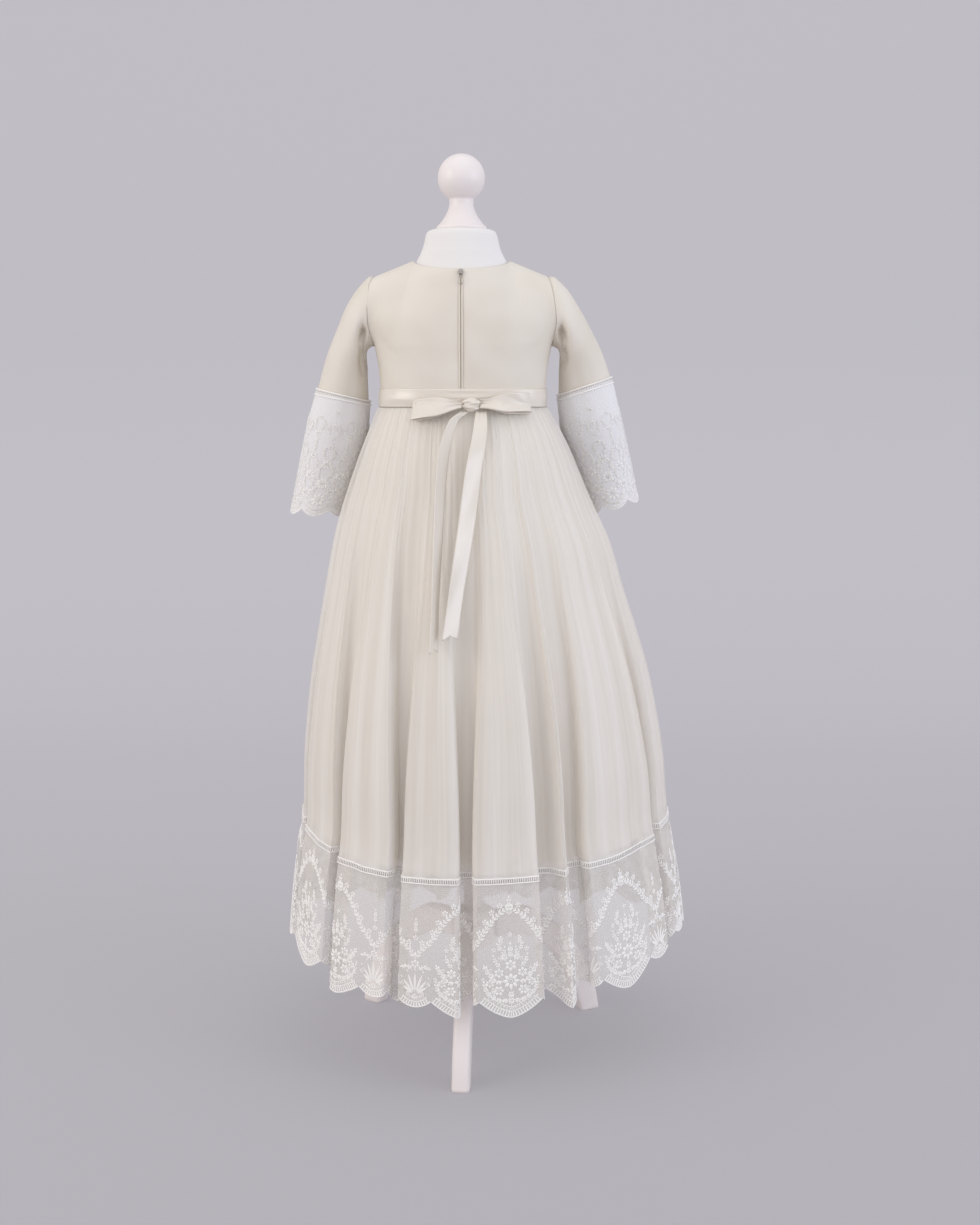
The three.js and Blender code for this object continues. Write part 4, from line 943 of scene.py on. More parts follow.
def hem_frame(share, z, out=0.0):
    """Places on the hem's surface with the directions along it, up it and out of it."""
    step = 0.00035
    here = net_point(share, z, out)
    along = net_point(share + step, z, out) - net_point(share - step, z, out)
    up = net_point(share, z + 0.5, out) - net_point(share, z - 0.5, out)
    along = along / np.maximum(np.linalg.norm(along, axis=-1, keepdims=True), 1e-9)
    up = up / np.maximum(np.linalg.norm(up, axis=-1, keepdims=True), 1e-9)
    outward = np.cross(along, up)
    return here, along, up, outward / np.maximum(np.linalg.norm(outward, axis=-1, keepdims=True), 1e-9)


TRIM_COLUMNS = 2000
TRIM_CORD_RISE = 2.7
TRIM_CORD_RADIUS = 0.8
BAR_GAP = 2.4
BAR_HALF_WIDTH, BAR_HALF_LENGTH = 0.42, 2.6
trim_shares = np.arange(TRIM_COLUMNS) / TRIM_COLUMNS
trim_middle = edge_height(TRIM_EDGE, share_to_degrees(trim_shares))
trim = Stitchwork()
for rise in (TRIM_CORD_RISE, -TRIM_CORD_RISE):
    here, along, up, outward = hem_frame(trim_shares, trim_middle + rise, 0.4)
    trim.add(*cord(here, outward, TRIM_CORD_RADIUS))
bar_corners = [(-BAR_HALF_WIDTH, -BAR_HALF_LENGTH), (BAR_HALF_WIDTH, -BAR_HALF_LENGTH),
               (BAR_HALF_WIDTH, BAR_HALF_LENGTH), (-BAR_HALF_WIDTH, BAR_HALF_LENGTH)]
bar_shares = np.arange(0, 1, BAR_GAP / HEM_LENGTH)
bar_middle = edge_height(TRIM_EDGE, share_to_degrees(bar_shares))
here, along, up, outward = hem_frame(bar_shares, bar_middle, 0.35)
for i in range(len(bar_shares)):
    flat = [here[i] + a * along[i] + b * up[i] for a, b in bar_corners]
    raised = [p + 0.45 * outward[i] for p in flat]
    trim.add([*flat, *raised], [(4, 5, 6, 7), (0, 1, 5, 4), (1, 2, 6, 5), (2, 3, 7, 6), (3, 0, 4, 7)])
trim.piece("hem_trim_ladder", cotton, "lace", ["hem_trim"])

# Hem lace: a border of fine net, about 15 cm deep, embroidered all over and cut to a scalloped edge.
# Each repeat has a large keel-pointed scallop with a spray of flowers and a small one with a fan of leaves.
REPEATS = round(HEM_LENGTH / 100)
REPEAT = HEM_LENGTH / REPEATS
BIG_SHARE = 0.66
BIG_SCALLOP = 18.0
SMALL_SCALLOP = 7.0
lace_net, lace_net_shader = new_material("fine_cotton_net", "#F1ECE5", 0.75, Sheen_Weight=0.3)
lace_net_place = add_node(lace_net, "ShaderNodeUVMap", uv_map="cloth_mm")
# The net's cells, drawn 2 mm across so that they show: threads stand close, with clear holes between.
lace_cells = add_node(
    lace_net, "ShaderNodeTexVoronoi", {"Vector": lace_net_place.outputs["UV"]},
    feature="DISTANCE_TO_EDGE", Scale=0.5, Randomness=0.5,
)
lace_cover = add_node(
    lace_net, "ShaderNodeMapRange", {"Value": lace_cells.outputs["Distance"]},
    From_Min=0.06, From_Max=0.26, To_Min=0.56, To_Max=0.42,
)
lace_net.node_tree.links.new(lace_cover.outputs["Result"], lace_net_shader.inputs["Alpha"])


def scallop_drop(share):
    """How far the lace's edge hangs below the hem's height at a share of the hem's length."""
    within = (share * REPEATS) % 1
    across = np.abs(within / BIG_SHARE - 0.5) * 2
    big = BIG_SCALLOP * (1 - np.clip(across, 0, 1) ** 1.6)
    side = ((within - BIG_SHARE) / (1 - BIG_SHARE) - 0.5) * 2
    small = SMALL_SCALLOP * (1 - np.clip(np.abs(side), 0, 1) ** 2)
    return np.where(within < BIG_SHARE, big, small)


def hem_bottom(share):
    """The height of the lace's cut edge."""
    return edge_height(HEM_EDGE, share_to_degrees(share)) - scallop_drop(share) + SMALL_SCALLOP


def hem_top(share):
    """The height at which the lace meets the trim."""
    return edge_height(TRIM_EDGE, share_to_degrees(share)) + 2.2


LACE_COLUMNS = 1800
lace_shares = np.arange(LACE_COLUMNS) / LACE_COLUMNS
lace_falls = np.linspace(0, 1, 22)
lace_top, lace_bottom = hem_top(lace_shares), hem_bottom(lace_shares)
lace_z = lace_top[None, :] * (1 - lace_falls[:, None]) + lace_bottom[None, :] * lace_falls[:, None]
lace_points = net_point(lace_shares[None, :], lace_z, -0.3)
places, faces, _ = cloth_grid(lace_points, closed=True)
lace_uvs = np.stack(np.broadcast_arrays(lace_shares[None, :] * HEM_LENGTH, lace_z), -1).reshape(-1, 2)
lace_ground = make_piece("hem_lace_net", places, faces, lace_net, ["hem_lace"], lace_uvs)


class Embroidery:
    """Raised satin stitch, charted flat in millimetres: u along the edge, h up from it, and its height."""

    def __init__(self):
        self.points, self.faces = [], []

    def leaf(self, u, h, length, width, degrees, bend=0.0, lift=0.9):
        """A leaf or petal from its foot, pointing away at an angle, plump along its middle."""
        start = len(self.points)
        angle = math.radians(degrees)
        for step, share in enumerate((0.0, 0.22, 0.5, 0.78, 1.0)):
            half = (0.0, 0.42, 0.5, 0.34, 0.0)[step] * width
            turn = angle + math.radians(bend) * share
            cu, ch = u + length * share * math.cos(turn), h + length * share * math.sin(turn)
            nu, nh = -math.sin(turn) * half, math.cos(turn) * half
            rise = (0.35, 0.9, 1.0, 0.85, 0.3)[step] * lift
            if step in (0, 4):
                self.points.append((cu, ch, rise * 0.5))
            else:
                self.points += [(cu + nu, ch + nh, 0.12), (cu, ch, rise), (cu - nu, ch - nh, 0.12)]
        a, b, c, d = start, start + 1, start + 4, start + 7
        self.faces += [(a, b + 1, b), (a, b + 2, b + 1)]
        for low, high in ((b, c), (c, d)):
            self.faces += [(low, low + 1, high + 1, high), (low + 1, low + 2, high + 2, high + 1)]
        end = start + 10
        self.faces += [(d, d + 1, end), (d + 1, d + 2, end)]

    def stem(self, path, width, lift=0.8, closed=False):
        """A corded line through points, with a rounded top."""
        start = len(self.points)
        path = np.array(path, float)
        along = frames_along(path, closed)
        for (pu, ph), (au, ah) in zip(path, along):
            nu, nh = -ah * width / 2, au * width / 2
            self.points += [(pu + nu, ph + nh, 0.1), (pu, ph, lift), (pu - nu, ph - nh, 0.1)]
        count = len(path)
        for i in range(count if closed else count - 1):
            p, q = start + 3 * i, start + 3 * ((i + 1) % count)
            self.faces += [(p, p + 1, q + 1, q), (p + 1, p + 2, q + 2, q + 1)]

    def ring(self, u, h, radius, width=0.8):
        """A small corded eyelet."""
        turns = np.arange(8) / 8 * 2 * np.pi
        self.stem(np.stack([u + radius * np.cos(turns), h + radius * np.sin(turns)], -1), width, 0.8, True)

    def flower(self, u, h, radius, petals, start=90.0):
        """Petals round an eyelet."""
        for i in range(petals):
            away = start + 360 * i / petals
            fu = u + radius * 0.3 * math.cos(math.radians(away))
            fh = h + radius * 0.3 * math.sin(math.radians(away))
            self.leaf(fu, fh, radius * 0.75, radius * 3.4 / petals, away)
        self.ring(u, h, radius * 0.2, 0.7)

    def spray(self, path, leaf_length, leaf_width, gap, spread=48.0, width=0.8):
        """A stem with leaves in pairs, alternately long and short, and one at its tip."""
        path = smooth_path(path, 10)
        self.stem(path[::2], width)
        run = np.concatenate([[0], np.cumsum(np.linalg.norm(np.diff(path, axis=0), axis=-1))])
        along = frames_along(path, False)
        for k, at in enumerate(np.arange(gap * 0.7, run[-1] - gap * 0.3, gap)):
            u, h = np.interp(at, run, path[:, 0]), np.interp(at, run, path[:, 1])
            au, ah = np.interp(at, run, along[:, 0]), np.interp(at, run, along[:, 1])
            heading = math.degrees(math.atan2(ah, au))
            size = 1.0 if k % 2 == 0 else 0.78
            for side in (1, -1):
                self.leaf(u, h, leaf_length * size, leaf_width * size, heading + side * spread, -side * 14)
        heading = math.degrees(math.atan2(along[-1, 1], along[-1, 0]))
        self.leaf(path[-1, 0], path[-1, 1], leaf_length, leaf_width, heading)

    def curl(self, u, h, radius, degrees, hand):
        """A tendril that winds in on itself."""
        turns = np.linspace(0, 1.35, 12)
        heading = math.radians(degrees) + hand * turns * 2 * np.pi
        shrink = radius * (1 - 0.62 * turns / 1.35)
        cu, ch = u - radius * math.cos(math.radians(degrees)), h - radius * math.sin(math.radians(degrees))
        self.stem(np.stack([cu + shrink * np.cos(heading), ch + shrink * np.sin(heading)], -1), 0.8)

    def mapped(self, name, place, repeats, width, material, nodes):
        """The charted repeat laid round a cloth's surface by place(u, h, lift), as one mesh."""
        chart = np.array(self.points, float)
        count = len(chart)
        sets = [chart + np.array([k * width, 0, 0]) for k in range(repeats)]
        places = place(*np.concatenate(sets).T)
        faces = [tuple(i + k * count for i in face) for k in range(repeats) for face in self.faces]
        return make_piece(name, places, faces, material, nodes)


def smooth_path(points, per_span):
    """A smooth open path through points, with so many steps to each span."""
    points = np.array(points, float)
    padded = np.concatenate([2 * points[:1] - points[1:2], points, 2 * points[-1:] - points[-2:-1]])
    t = np.arange(per_span)[:, None] / per_span
    spans = []
    for i in range(len(points) - 1):
        a, b, c, d = padded[i : i + 4]
        square, cube = 2 * a - 5 * b + 4 * c - d, 3 * b - a - 3 * c + d
        spans.append(0.5 * (2 * b + (c - a) * t + square * t**2 + cube * t**3))
    return np.concatenate([*spans, points[-1:]])


def scalloped_edge(work, start, width, drop_at, ladder, eyelet_gap, bar_gap=3.2):
    """The edge of one scallop: two cords with bars between them, a row of eyelets and an inner cord."""
    u = np.linspace(start, start + width, 49)
    rim = np.stack([u, -drop_at(u)], -1)
    along = frames_along(rim, False)
    inward = np.stack([-along[:, 1], along[:, 0]], -1)
    for offset, cord_width, lift in ((0.5, 1.3, 1.0), (ladder, 1.2, 0.9), (ladder + 4.6, 1.0, 0.8)):
        line = rim + inward * offset
        keep = (line[:, 0] > start + 0.2) & (line[:, 0] < start + width - 0.2)
        work.stem(line[keep][::2], cord_width, lift)
    run = np.concatenate([[0], np.cumsum(np.linalg.norm(np.diff(rim, axis=0), axis=-1))])
    for at in np.arange(1.6, run[-1] - 0.8, bar_gap):
        foot = np.array([np.interp(at, run, rim[:, 0]), np.interp(at, run, rim[:, 1])])
        way = np.array([np.interp(at, run, inward[:, 0]), np.interp(at, run, inward[:, 1])])
        work.stem([foot + way * 0.5, foot + way * ladder], bar_gap * 0.42, 0.7)
    for at in np.arange(eyelet_gap, run[-1] - eyelet_gap / 2, eyelet_gap):
        spot = np.array([np.interp(at, run, rim[:, 0]), np.interp(at, run, rim[:, 1])])
        way = np.array([np.interp(at, run, inward[:, 0]), np.interp(at, run, inward[:, 1])])
        spot = spot + way * (ladder + 2.4)
        if start + 1.5 < spot[0] < start + width - 1.5:
            work.ring(spot[0], spot[1], 0.95, 0.7)


BIG = BIG_SHARE * REPEAT
SMALL = REPEAT - BIG
MID = BIG / 2
FAN = BIG + SMALL / 2
hem_work = Embroidery()
scalloped_edge(hem_work, 0.0, BIG, lambda u: scallop_drop(u / HEM_LENGTH) + 0 * u, 7.0, 4.2)
scalloped_edge(
    hem_work, BIG, SMALL, lambda u: scallop_drop(np.minimum(u, REPEAT - 1e-6) / HEM_LENGTH), 6.4, 4.0
)

# The big scallop's spray: a stem from the keel with flowers, buds and leaves on either side.
hem_work.spray([(MID, -5), (MID, 4), (MID, 12)], 5.0, 2.4, 3.4)
hem_work.flower(MID, 22, 8.4, 8)
hem_work.flower(MID, 39, 6.0, 6)
for hand in (-1, 1):
    hem_work.flower(MID + hand * 12.5, 12, 5.4, 6, 60)
    hem_work.flower(MID + hand * 12.0, 31, 5.2, 6, 30)
    hem_work.spray([(MID + hand * 2, 2), (MID + hand * 9, 0.5), (MID + hand * 17, 4)], 4.4, 2.1, 3.1)
    hem_work.spray([(MID + hand * 8, 22), (MID + hand * 14, 21), (MID + hand * 19, 25)], 4.2, 2.0, 3.0)
    hem_work.spray([(MID + hand * 4, 44), (MID + hand * 7, 50), (MID + hand * 6, 57)], 4.0, 1.9, 2.9)
    hem_work.spray([(MID + hand * 10, 37), (MID + hand * 15, 42), (MID + hand * 17, 48)], 3.8, 1.9, 2.9)
    hem_work.curl(MID + hand * 20, 14, 2.6, 90 - hand * 60, hand)
    hem_work.curl(MID + hand * 19, 36, 2.3, 90 + hand * 30, -hand)
    hem_work.curl(MID + hand * 22, 3, 2.0, 90 + hand * 50, -hand)
hem_work.spray([(MID, 46), (MID, 52), (MID, 60)], 4.6, 2.3, 2.9)
for hand in (-1, 1):
    hem_work.flower(MID + hand * 21.5, 20, 4.4, 6)
    hem_work.flower(MID + hand * 6.5, 48, 4.0, 6, 45)
    hem_work.flower(MID + hand * 19, 9, 3.4, 5)
    hem_work.spray([(MID + hand * 16, 27), (MID + hand * 22, 30), (MID + hand * 26, 37)], 4.2, 2.1, 2.8)
    hem_work.spray([(MID + hand * 20, 6), (MID + hand * 25, 12), (MID + hand * 27, 20)], 4.0, 2.0, 2.8)
    hem_work.spray([(MID + hand * 9, 54), (MID + hand * 12, 61), (MID + hand * 10, 68)], 3.8, 1.9, 2.8)
    hem_work.curl(MID + hand * 13, 47, 2.4, 90 - hand * 40, hand)
    hem_work.curl(MID + hand * 27, 26, 2.2, 90 + hand * 20, -hand)
for u, h in ((MID - 10, 64), (MID + 10, 64), (MID, 72), (MID - 17, 56), (MID + 17, 56)):
    hem_work.flower(u, h, 2.6, 5)

# The small scallop's fan: leaves that open like a palmette, with curls at its foot and a bud above.
for degrees, length in ((90, 22), (72, 21), (108, 21), (54, 18), (126, 18), (38, 13), (142, 13)):
    foot = math.radians(degrees)
    hem_work.leaf(FAN + 3 * math.cos(foot), 6 + 3 * math.sin(foot), length, 2.7, degrees)
    hem_work.stem([(FAN + (5 + length) * math.cos(foot), 6 + (5 + length) * math.sin(foot)),
                   (FAN + (7.5 + length) * math.cos(foot), 6 + (7.5 + length) * math.sin(foot))], 1.6)
hem_work.flower(FAN, 5, 3.2, 6)
for hand in (-1, 1):
    hem_work.curl(FAN + hand * 9, 9, 2.6, 90 - hand * 40, hand)
    hem_work.curl(FAN + hand * 12.5, 20, 2.2, 90 + hand * 20, -hand)
    hem_work.spray([(FAN + hand * 3, 33), (FAN + hand * 8, 37), (FAN + hand * 13, 36)], 3.8, 1.9, 2.8)
hem_work.flower(FAN, 40, 4.6, 6)

# The garland: leafy stems that rise from the fans and meet in a point high over each spray.
for hand in (-1, 1):
    root = FAN - REPEAT if hand < 0 else FAN
    reach = MID - root
    garland = [(root, 45), (root + reach * 0.1, 54), (root + reach * 0.34, 66), (root + reach * 0.52, 80),
               (root + reach * 0.72, 92), (root + reach * 0.96, 101)]
    hem_work.spray(garland, 5.6, 2.3, 4.3, 50, 1.0)
    for share, rise in ((0.34, 75), (0.60, 96), (0.12, 63), (0.46, 86), (0.78, 103)):
        hem_work.flower(root + reach * share - hand * 1.0, rise, 3.2, 5)
hem_work.spray([(MID, 99), (MID, 105), (MID, 110)], 4.2, 2.0, 2.9)
hem_work.flower(MID, 97, 3.6, 6)
hem_work.flower(FAN, 68, 3.0, 5)
hem_work.spray([(FAN, 73), (FAN, 79), (FAN, 86)], 3.6, 1.8, 2.8)


def on_hem(u, h, lift):
    """A charted place on the hem lace: h is the height above the cusps of its edge."""
    share = u / HEM_LENGTH
    z = edge_height(HEM_EDGE, share_to_degrees(share)) + SMALL_SCALLOP + h
    here, _, _, outward = hem_frame(share, z, -0.3)
    return here + outward * (lift * 0.8)[:, None]


hem_embroidery = hem_work.mapped("hem_lace_embroidery", on_hem, REPEATS, REPEAT, cotton, ["hem_lace"])

# Cuffs: a white ladder insertion round each sleeve, and below it embroidered net lace over the satin.
# The lace ends in six small scallops with a ladder edge, a little past the sleeve.
CUFF_SCALLOPS = 6
CUFF_DROP = 8.0
CUFF_EDGE = 2.4
cuff_net, cuff_net_shader = new_material("white_cuff_net", "#FBFAFB", 0.7, Sheen_Weight=0.3)
cuff_net_place = add_node(cuff_net, "ShaderNodeUVMap", uv_map="cloth_mm")
cuff_cells = add_node(
    cuff_net, "ShaderNodeTexVoronoi", {"Vector": cuff_net_place.outputs["UV"]},
    feature="DISTANCE_TO_EDGE", Scale=0.62, Randomness=0.35,
)
cuff_cover = add_node(
    cuff_net, "ShaderNodeMapRange", {"Value": cuff_cells.outputs["Distance"]},
    From_Min=0.06, From_Max=0.26, To_Min=0.92, To_Max=0.66,
)
cuff_net.node_tree.links.new(cuff_cover.outputs["Result"], cuff_net_shader.inputs["Alpha"])


def sleeve_frame(name, row, turn, out):
    """Places on a sleeve with the directions round it, down it and out of it."""
    here = sleeve_point(name, row, turn, out)
    around = sleeve_point(name, row, turn + 0.004, out) - sleeve_point(name, row, turn - 0.004, out)
    lower = sleeve_point(name, np.minimum(row + 0.04, 8), turn, out)
    down = lower - sleeve_point(name, row - 0.04, turn, out)
    around = around / np.maximum(np.linalg.norm(around, axis=-1, keepdims=True), 1e-9)
    down = down / np.maximum(np.linalg.norm(down, axis=-1, keepdims=True), 1e-9)
    outward = np.cross(down, around)
    centre = sleeve_point(name, row, 0.0, 0) / 2 + sleeve_point(name, row, 0.5, 0) / 2
    facing = np.sign(np.sum(outward * (here - centre), axis=-1, keepdims=True))
    return here, around, down, outward * np.where(facing == 0, 1, facing)


for name in SLEEVES:
    cuff_rows = np.linspace(TRIM_ROW - 0.1, 7.86, 60)
    cuff_turns = np.arange(72) / 72
    cuff_rings = sleeve_point(name, cuff_rows[:, None], cuff_turns[None, :])
    cuff_steps = np.linalg.norm(np.diff(cuff_rings, axis=0), axis=-1).mean(axis=1)
    cuff_run = np.concatenate([[0], np.cumsum(cuff_steps)])
    cuff_round = np.linalg.norm(np.diff(cuff_rings[40], axis=0, append=cuff_rings[40][:1]), axis=-1).sum()
    cuff_repeat = cuff_round / CUFF_SCALLOPS
    cusp_down = cuff_run[-1] + CUFF_EDGE

    def on_cuff(u, h, lift, name=name, run=cuff_run, rows=cuff_rows, around_mm=cuff_round, cusp=cusp_down):
        """A charted place on this cuff: h is the height above the cusps of its edge."""
        down_mm = cusp - h
        row = np.interp(down_mm, run, rows)
        here, _, down, outward = sleeve_frame(name, row, u / around_mm, 1.4)
        past = np.maximum(down_mm - run[-1], 0)
        return here + down * past[..., None] + outward * (0.35 + lift * 0.8)[..., None]

    # The ladder trim: two cords and the bars between them, round the sleeve where the lace starts.
    ladder_turns = np.arange(160) / 160
    ladder = Stitchwork()
    for rise in (-0.085, 0.085):
        here, around, down, outward = sleeve_frame(name, np.full(160, TRIM_ROW + rise), ladder_turns, 2.0)
        ladder.add(*cord(here, outward, 0.95))
    bar_turns = np.arange(0, 1, 2.6 / cuff_round)
    upper = sleeve_point(name, TRIM_ROW - 0.08, bar_turns, 2.2)
    lower = sleeve_point(name, TRIM_ROW + 0.08, bar_turns, 2.2)
    for i in range(len(bar_turns)):
        step = sleeve_point(name, TRIM_ROW, bar_turns[i] + 0.01) - sleeve_point(name, TRIM_ROW, bar_turns[i])
        half_bar = 0.45 * step / np.linalg.norm(step)
        corners = [upper[i] - half_bar, upper[i] + half_bar, lower[i] + half_bar, lower[i] - half_bar]
        ladder.add(corners, [(0, 1, 2, 3)])
    ladder.piece(f"sleeve_trim_{name}_ladder", cotton, "lace", [f"sleeve_trim_{name}"])

    # The net ground, from the trim to the scalloped edge.
    ground_u = np.arange(240) / 240 * cuff_round
    within = (ground_u / cuff_repeat) % 1
    ground_drop = CUFF_DROP * (1 - (2 * within - 1) ** 2)
    ground_falls = np.linspace(0, 1, 36)[:, None]
    ground_h = (cusp_down - 2.5) * (1 - ground_falls) - ground_drop[None, :] * ground_falls
    ground_points = on_cuff(ground_u[None, :] + 0 * ground_h, ground_h, 0 * ground_h - 0.1)
    places, faces, _ = cloth_grid(ground_points, closed=True)
    ground_uvs = np.stack(np.broadcast_arrays(ground_u[None, :], ground_h), -1).reshape(-1, 2)
    ground = make_piece(
        f"cuff_{name}_net", places, faces, cuff_net, [f"cuff_lace_{name}"], ground_uvs
    )

    # The embroidery: blossoms in two sizes, one over each scallop and one over each cusp, with leafy sprays.
    blossom = Embroidery()
    middle = cuff_repeat / 2

    def cuff_drop(u, width=cuff_repeat):
        """How far this cuff's edge hangs below its cusps."""
        return CUFF_DROP * (1 - np.clip(np.abs(2 * u / width - 1), 0, 1) ** 2)

    scalloped_edge(blossom, 0.0, cuff_repeat, cuff_drop, 5.2, 3.9, 2.9)
    for bloom in (
        (middle, 12.5, 8.2, 8), (0, 21, 6.2, 7), (middle, 33, 7.0, 8, 60), (0, 43, 5.6, 6),
        (middle, 56, 5.6, 7), (0, 66, 4.0, 6), (middle, 78, 3.4, 5),
    ):
        blossom.flower(*bloom)
    for hand in (-1, 1):
        for centre, path, leaves in (
            (middle, ((2, 1), (8, 3), (12, 9)), (3.8, 1.9, 2.7)),
            (middle, ((8, 17), (9, 24), (6, 27)), (3.6, 1.8, 2.6)),
            (0, ((3, 28), (6, 33), (6, 39)), (3.6, 1.8, 2.6)),
            (middle, ((5, 40), (8, 46), (6, 52)), (3.4, 1.7, 2.6)),
            (0, ((3, 50), (6, 56), (5, 62)), (3.4, 1.7, 2.6)),
            (middle, ((3, 62), (6, 68), (5, 75)), (3.2, 1.6, 2.5)),
        ):
            blossom.spray([(centre + hand * u, h) for u, h in path], *leaves)
        blossom.curl(middle + hand * 12, 24, 2.0, 90 - hand * 30, hand)
        blossom.curl(hand * 9, 47, 2.0, 90 + hand * 30, -hand)
    blossom.spray([(0, 71), (0, 77), (0, 84)], 3.2, 1.6, 2.5)
    buds = ((0, 92, 3.6), (middle, 88, 2.8), (middle, 102, 3.2), (0, 110, 2.6), (middle, 118, 2.2))
    for u, h, size in buds:
        blossom.flower(u, h, size, 5)
    for hand in (-1, 1):
        for centre, path in ((0, ((3, 96), (6, 101), (5, 107))), (middle, ((3, 92), (6, 97), (5, 103)))):
            blossom.spray([(centre + hand * u, h) for u, h in path], 3.0, 1.5, 2.5)
    work = blossom.mapped(
        f"cuff_{name}_embroidery", on_cuff, CUFF_SCALLOPS, cuff_repeat, cotton, [f"cuff_lace_{name}"]
    )

# Bow: the same 20 mm ribbon, tied with one knot, two loops and two cut tails that hang down the skirt.
# Satin ribbon creases sharply where it is pulled through the knot and lies smooth in its loops and tails.
GATHER_RISE = 2.2
KNOT_X = 11.0
KNOT_Z = 730.0
KNOT_HALF = (9.5, 5.0, 7.5)
RIBBON_HALF = 10.0
LOOP_LENGTH = 53.0


def back_reach(x, z):
    """How far behind the form's axis the sash or the skirt reaches at a place seen from behind."""
    x, z = np.broadcast_arrays(np.asarray(x, float), np.asarray(z, float))
    reaches = []
    for level in (z - 4, z, z + 4):
        middle, half, back, _ = np.moveaxis(eased(BODY, level), -1, 0)
        across = np.clip(np.abs(x - middle) / (half + SASH_OUT), 0, 1)
        on_sash = (back + SASH_OUT) * (1 - across**ROUNDNESS) ** (1 / ROUNDNESS)
        left, right, _, _ = np.moveaxis(eased(SKIRT, level), -1, 0)
        share = np.clip(x / np.where(x < 0, left, right), -0.99, 0.99)
        degrees = -90 + np.degrees(np.arcsin(share))
        on_skirt = -skirt_point(degrees, level, 2 * GATHER_RISE + 0.4)[..., 1]
        reaches.append(np.where(level >= WAIST_Z, on_sash, on_skirt))
    return np.max(reaches, axis=0)


knot_rows, knot_columns = 40, 64
knot_up = np.linspace(0.02, 0.98, knot_rows)[:, None] * np.pi
knot_turn = (np.arange(knot_columns) / knot_columns * 2 * np.pi)[None, :]
# The knot is a turn of ribbon squeezed round the others, so folds fan over it from its two ends.
knot_folds = 0.16 * np.sin(7 * knot_up + 1.4 * np.sin(2 * knot_turn))
knot_folds = knot_folds + 0.08 * np.sin(13 * knot_up + 3 * knot_turn)
knot_waist = 1 - 0.16 * np.exp(-((np.cos(knot_turn) / 0.35) ** 2)) * np.abs(np.cos(knot_up))
knot_size = (1 + knot_folds * np.sin(knot_up)) * knot_waist
knot_y = -(float(back_reach(KNOT_X, KNOT_Z)) + 0.3 + KNOT_HALF[1])
knot_points = np.stack(
    [
        KNOT_X + KNOT_HALF[0] * np.sin(knot_up) * np.cos(knot_turn) * knot_size,
        knot_y + KNOT_HALF[1] * np.sin(knot_up) * np.sin(knot_turn) * knot_size,
        KNOT_Z + KNOT_HALF[2] * np.cos(knot_up) * (1 + 0 * knot_turn),
    ],
    -1,
)
places, faces, uvs = cloth_grid(knot_points, closed=True)
faces += [tuple(range(knot_columns)), tuple(range(len(places) - 1, len(places) - knot_columns - 1, -1))]
make_piece(
    "bow_knot_wrap", places, faces, ribbon, ["bow_knot"], uvs[:, ::-1], solid=True
)


def loop_points(sign, droop):
    """A loop's ribbon: out from the knot, round its tip and back nearer the body."""
    angle = (np.linspace(0, 2 * np.pi, 121) * sign)[None, :]
    across = np.linspace(1, -1, 15)[:, None]
    along = (1 - np.cos(angle)) / 2
    half = 4.5 + (RIBBON_HALF - 4.5) * smooth_step(along * 1.7)
    near_knot = np.exp(-((along / 0.22) ** 2))
    pleats = near_knot * (1.2 * np.sin(across * 7.5 + 1) + 0.7 * np.sin(across * 13))
    ripple = 0.9 * np.sin(across * 2.2 + along * 6 + sign) * smooth_step(along * 3)
    x = KNOT_X + sign * (KNOT_HALF[0] + 0.6 + LOOP_LENGTH * along) + 0 * across
    slant = 2.0 * across * smooth_step((along - 0.75) * 4) * -sign
    z = KNOT_Z + 1 - droop * along + across * half - 2 * np.sin(angle) * sign * along
    gap = 5.5 * (0.45 + 0.55 * smooth_step(along * 2))
    middle = back_reach(x, z) + 1 + 5.5 + 0.3
    bulge = gap * np.sin(angle) * sign * (1 - 0.12 * np.abs(across))
    y = -(middle - bulge + np.maximum(pleats + ripple, -0.6))
    return np.stack([x + slant * 0.6, y, z], -1)


for name, sign, droop in (("left", -1, 7), ("right", 1, -1)):
    points = loop_points(sign, droop)
    places, faces, uvs = cloth_grid(points)
    loop = make_piece(
        f"bow_loop_{name}_ribbon", places, faces, ribbon, [f"bow_loop_{name}"], uvs
    )
    thicken(loop, 0.5)
    loop_length = np.ptp(uvs[:, 0]) / 1000
    min(cloth_area(points), 2 * RIBBON_HALF / 1000 * loop_length)

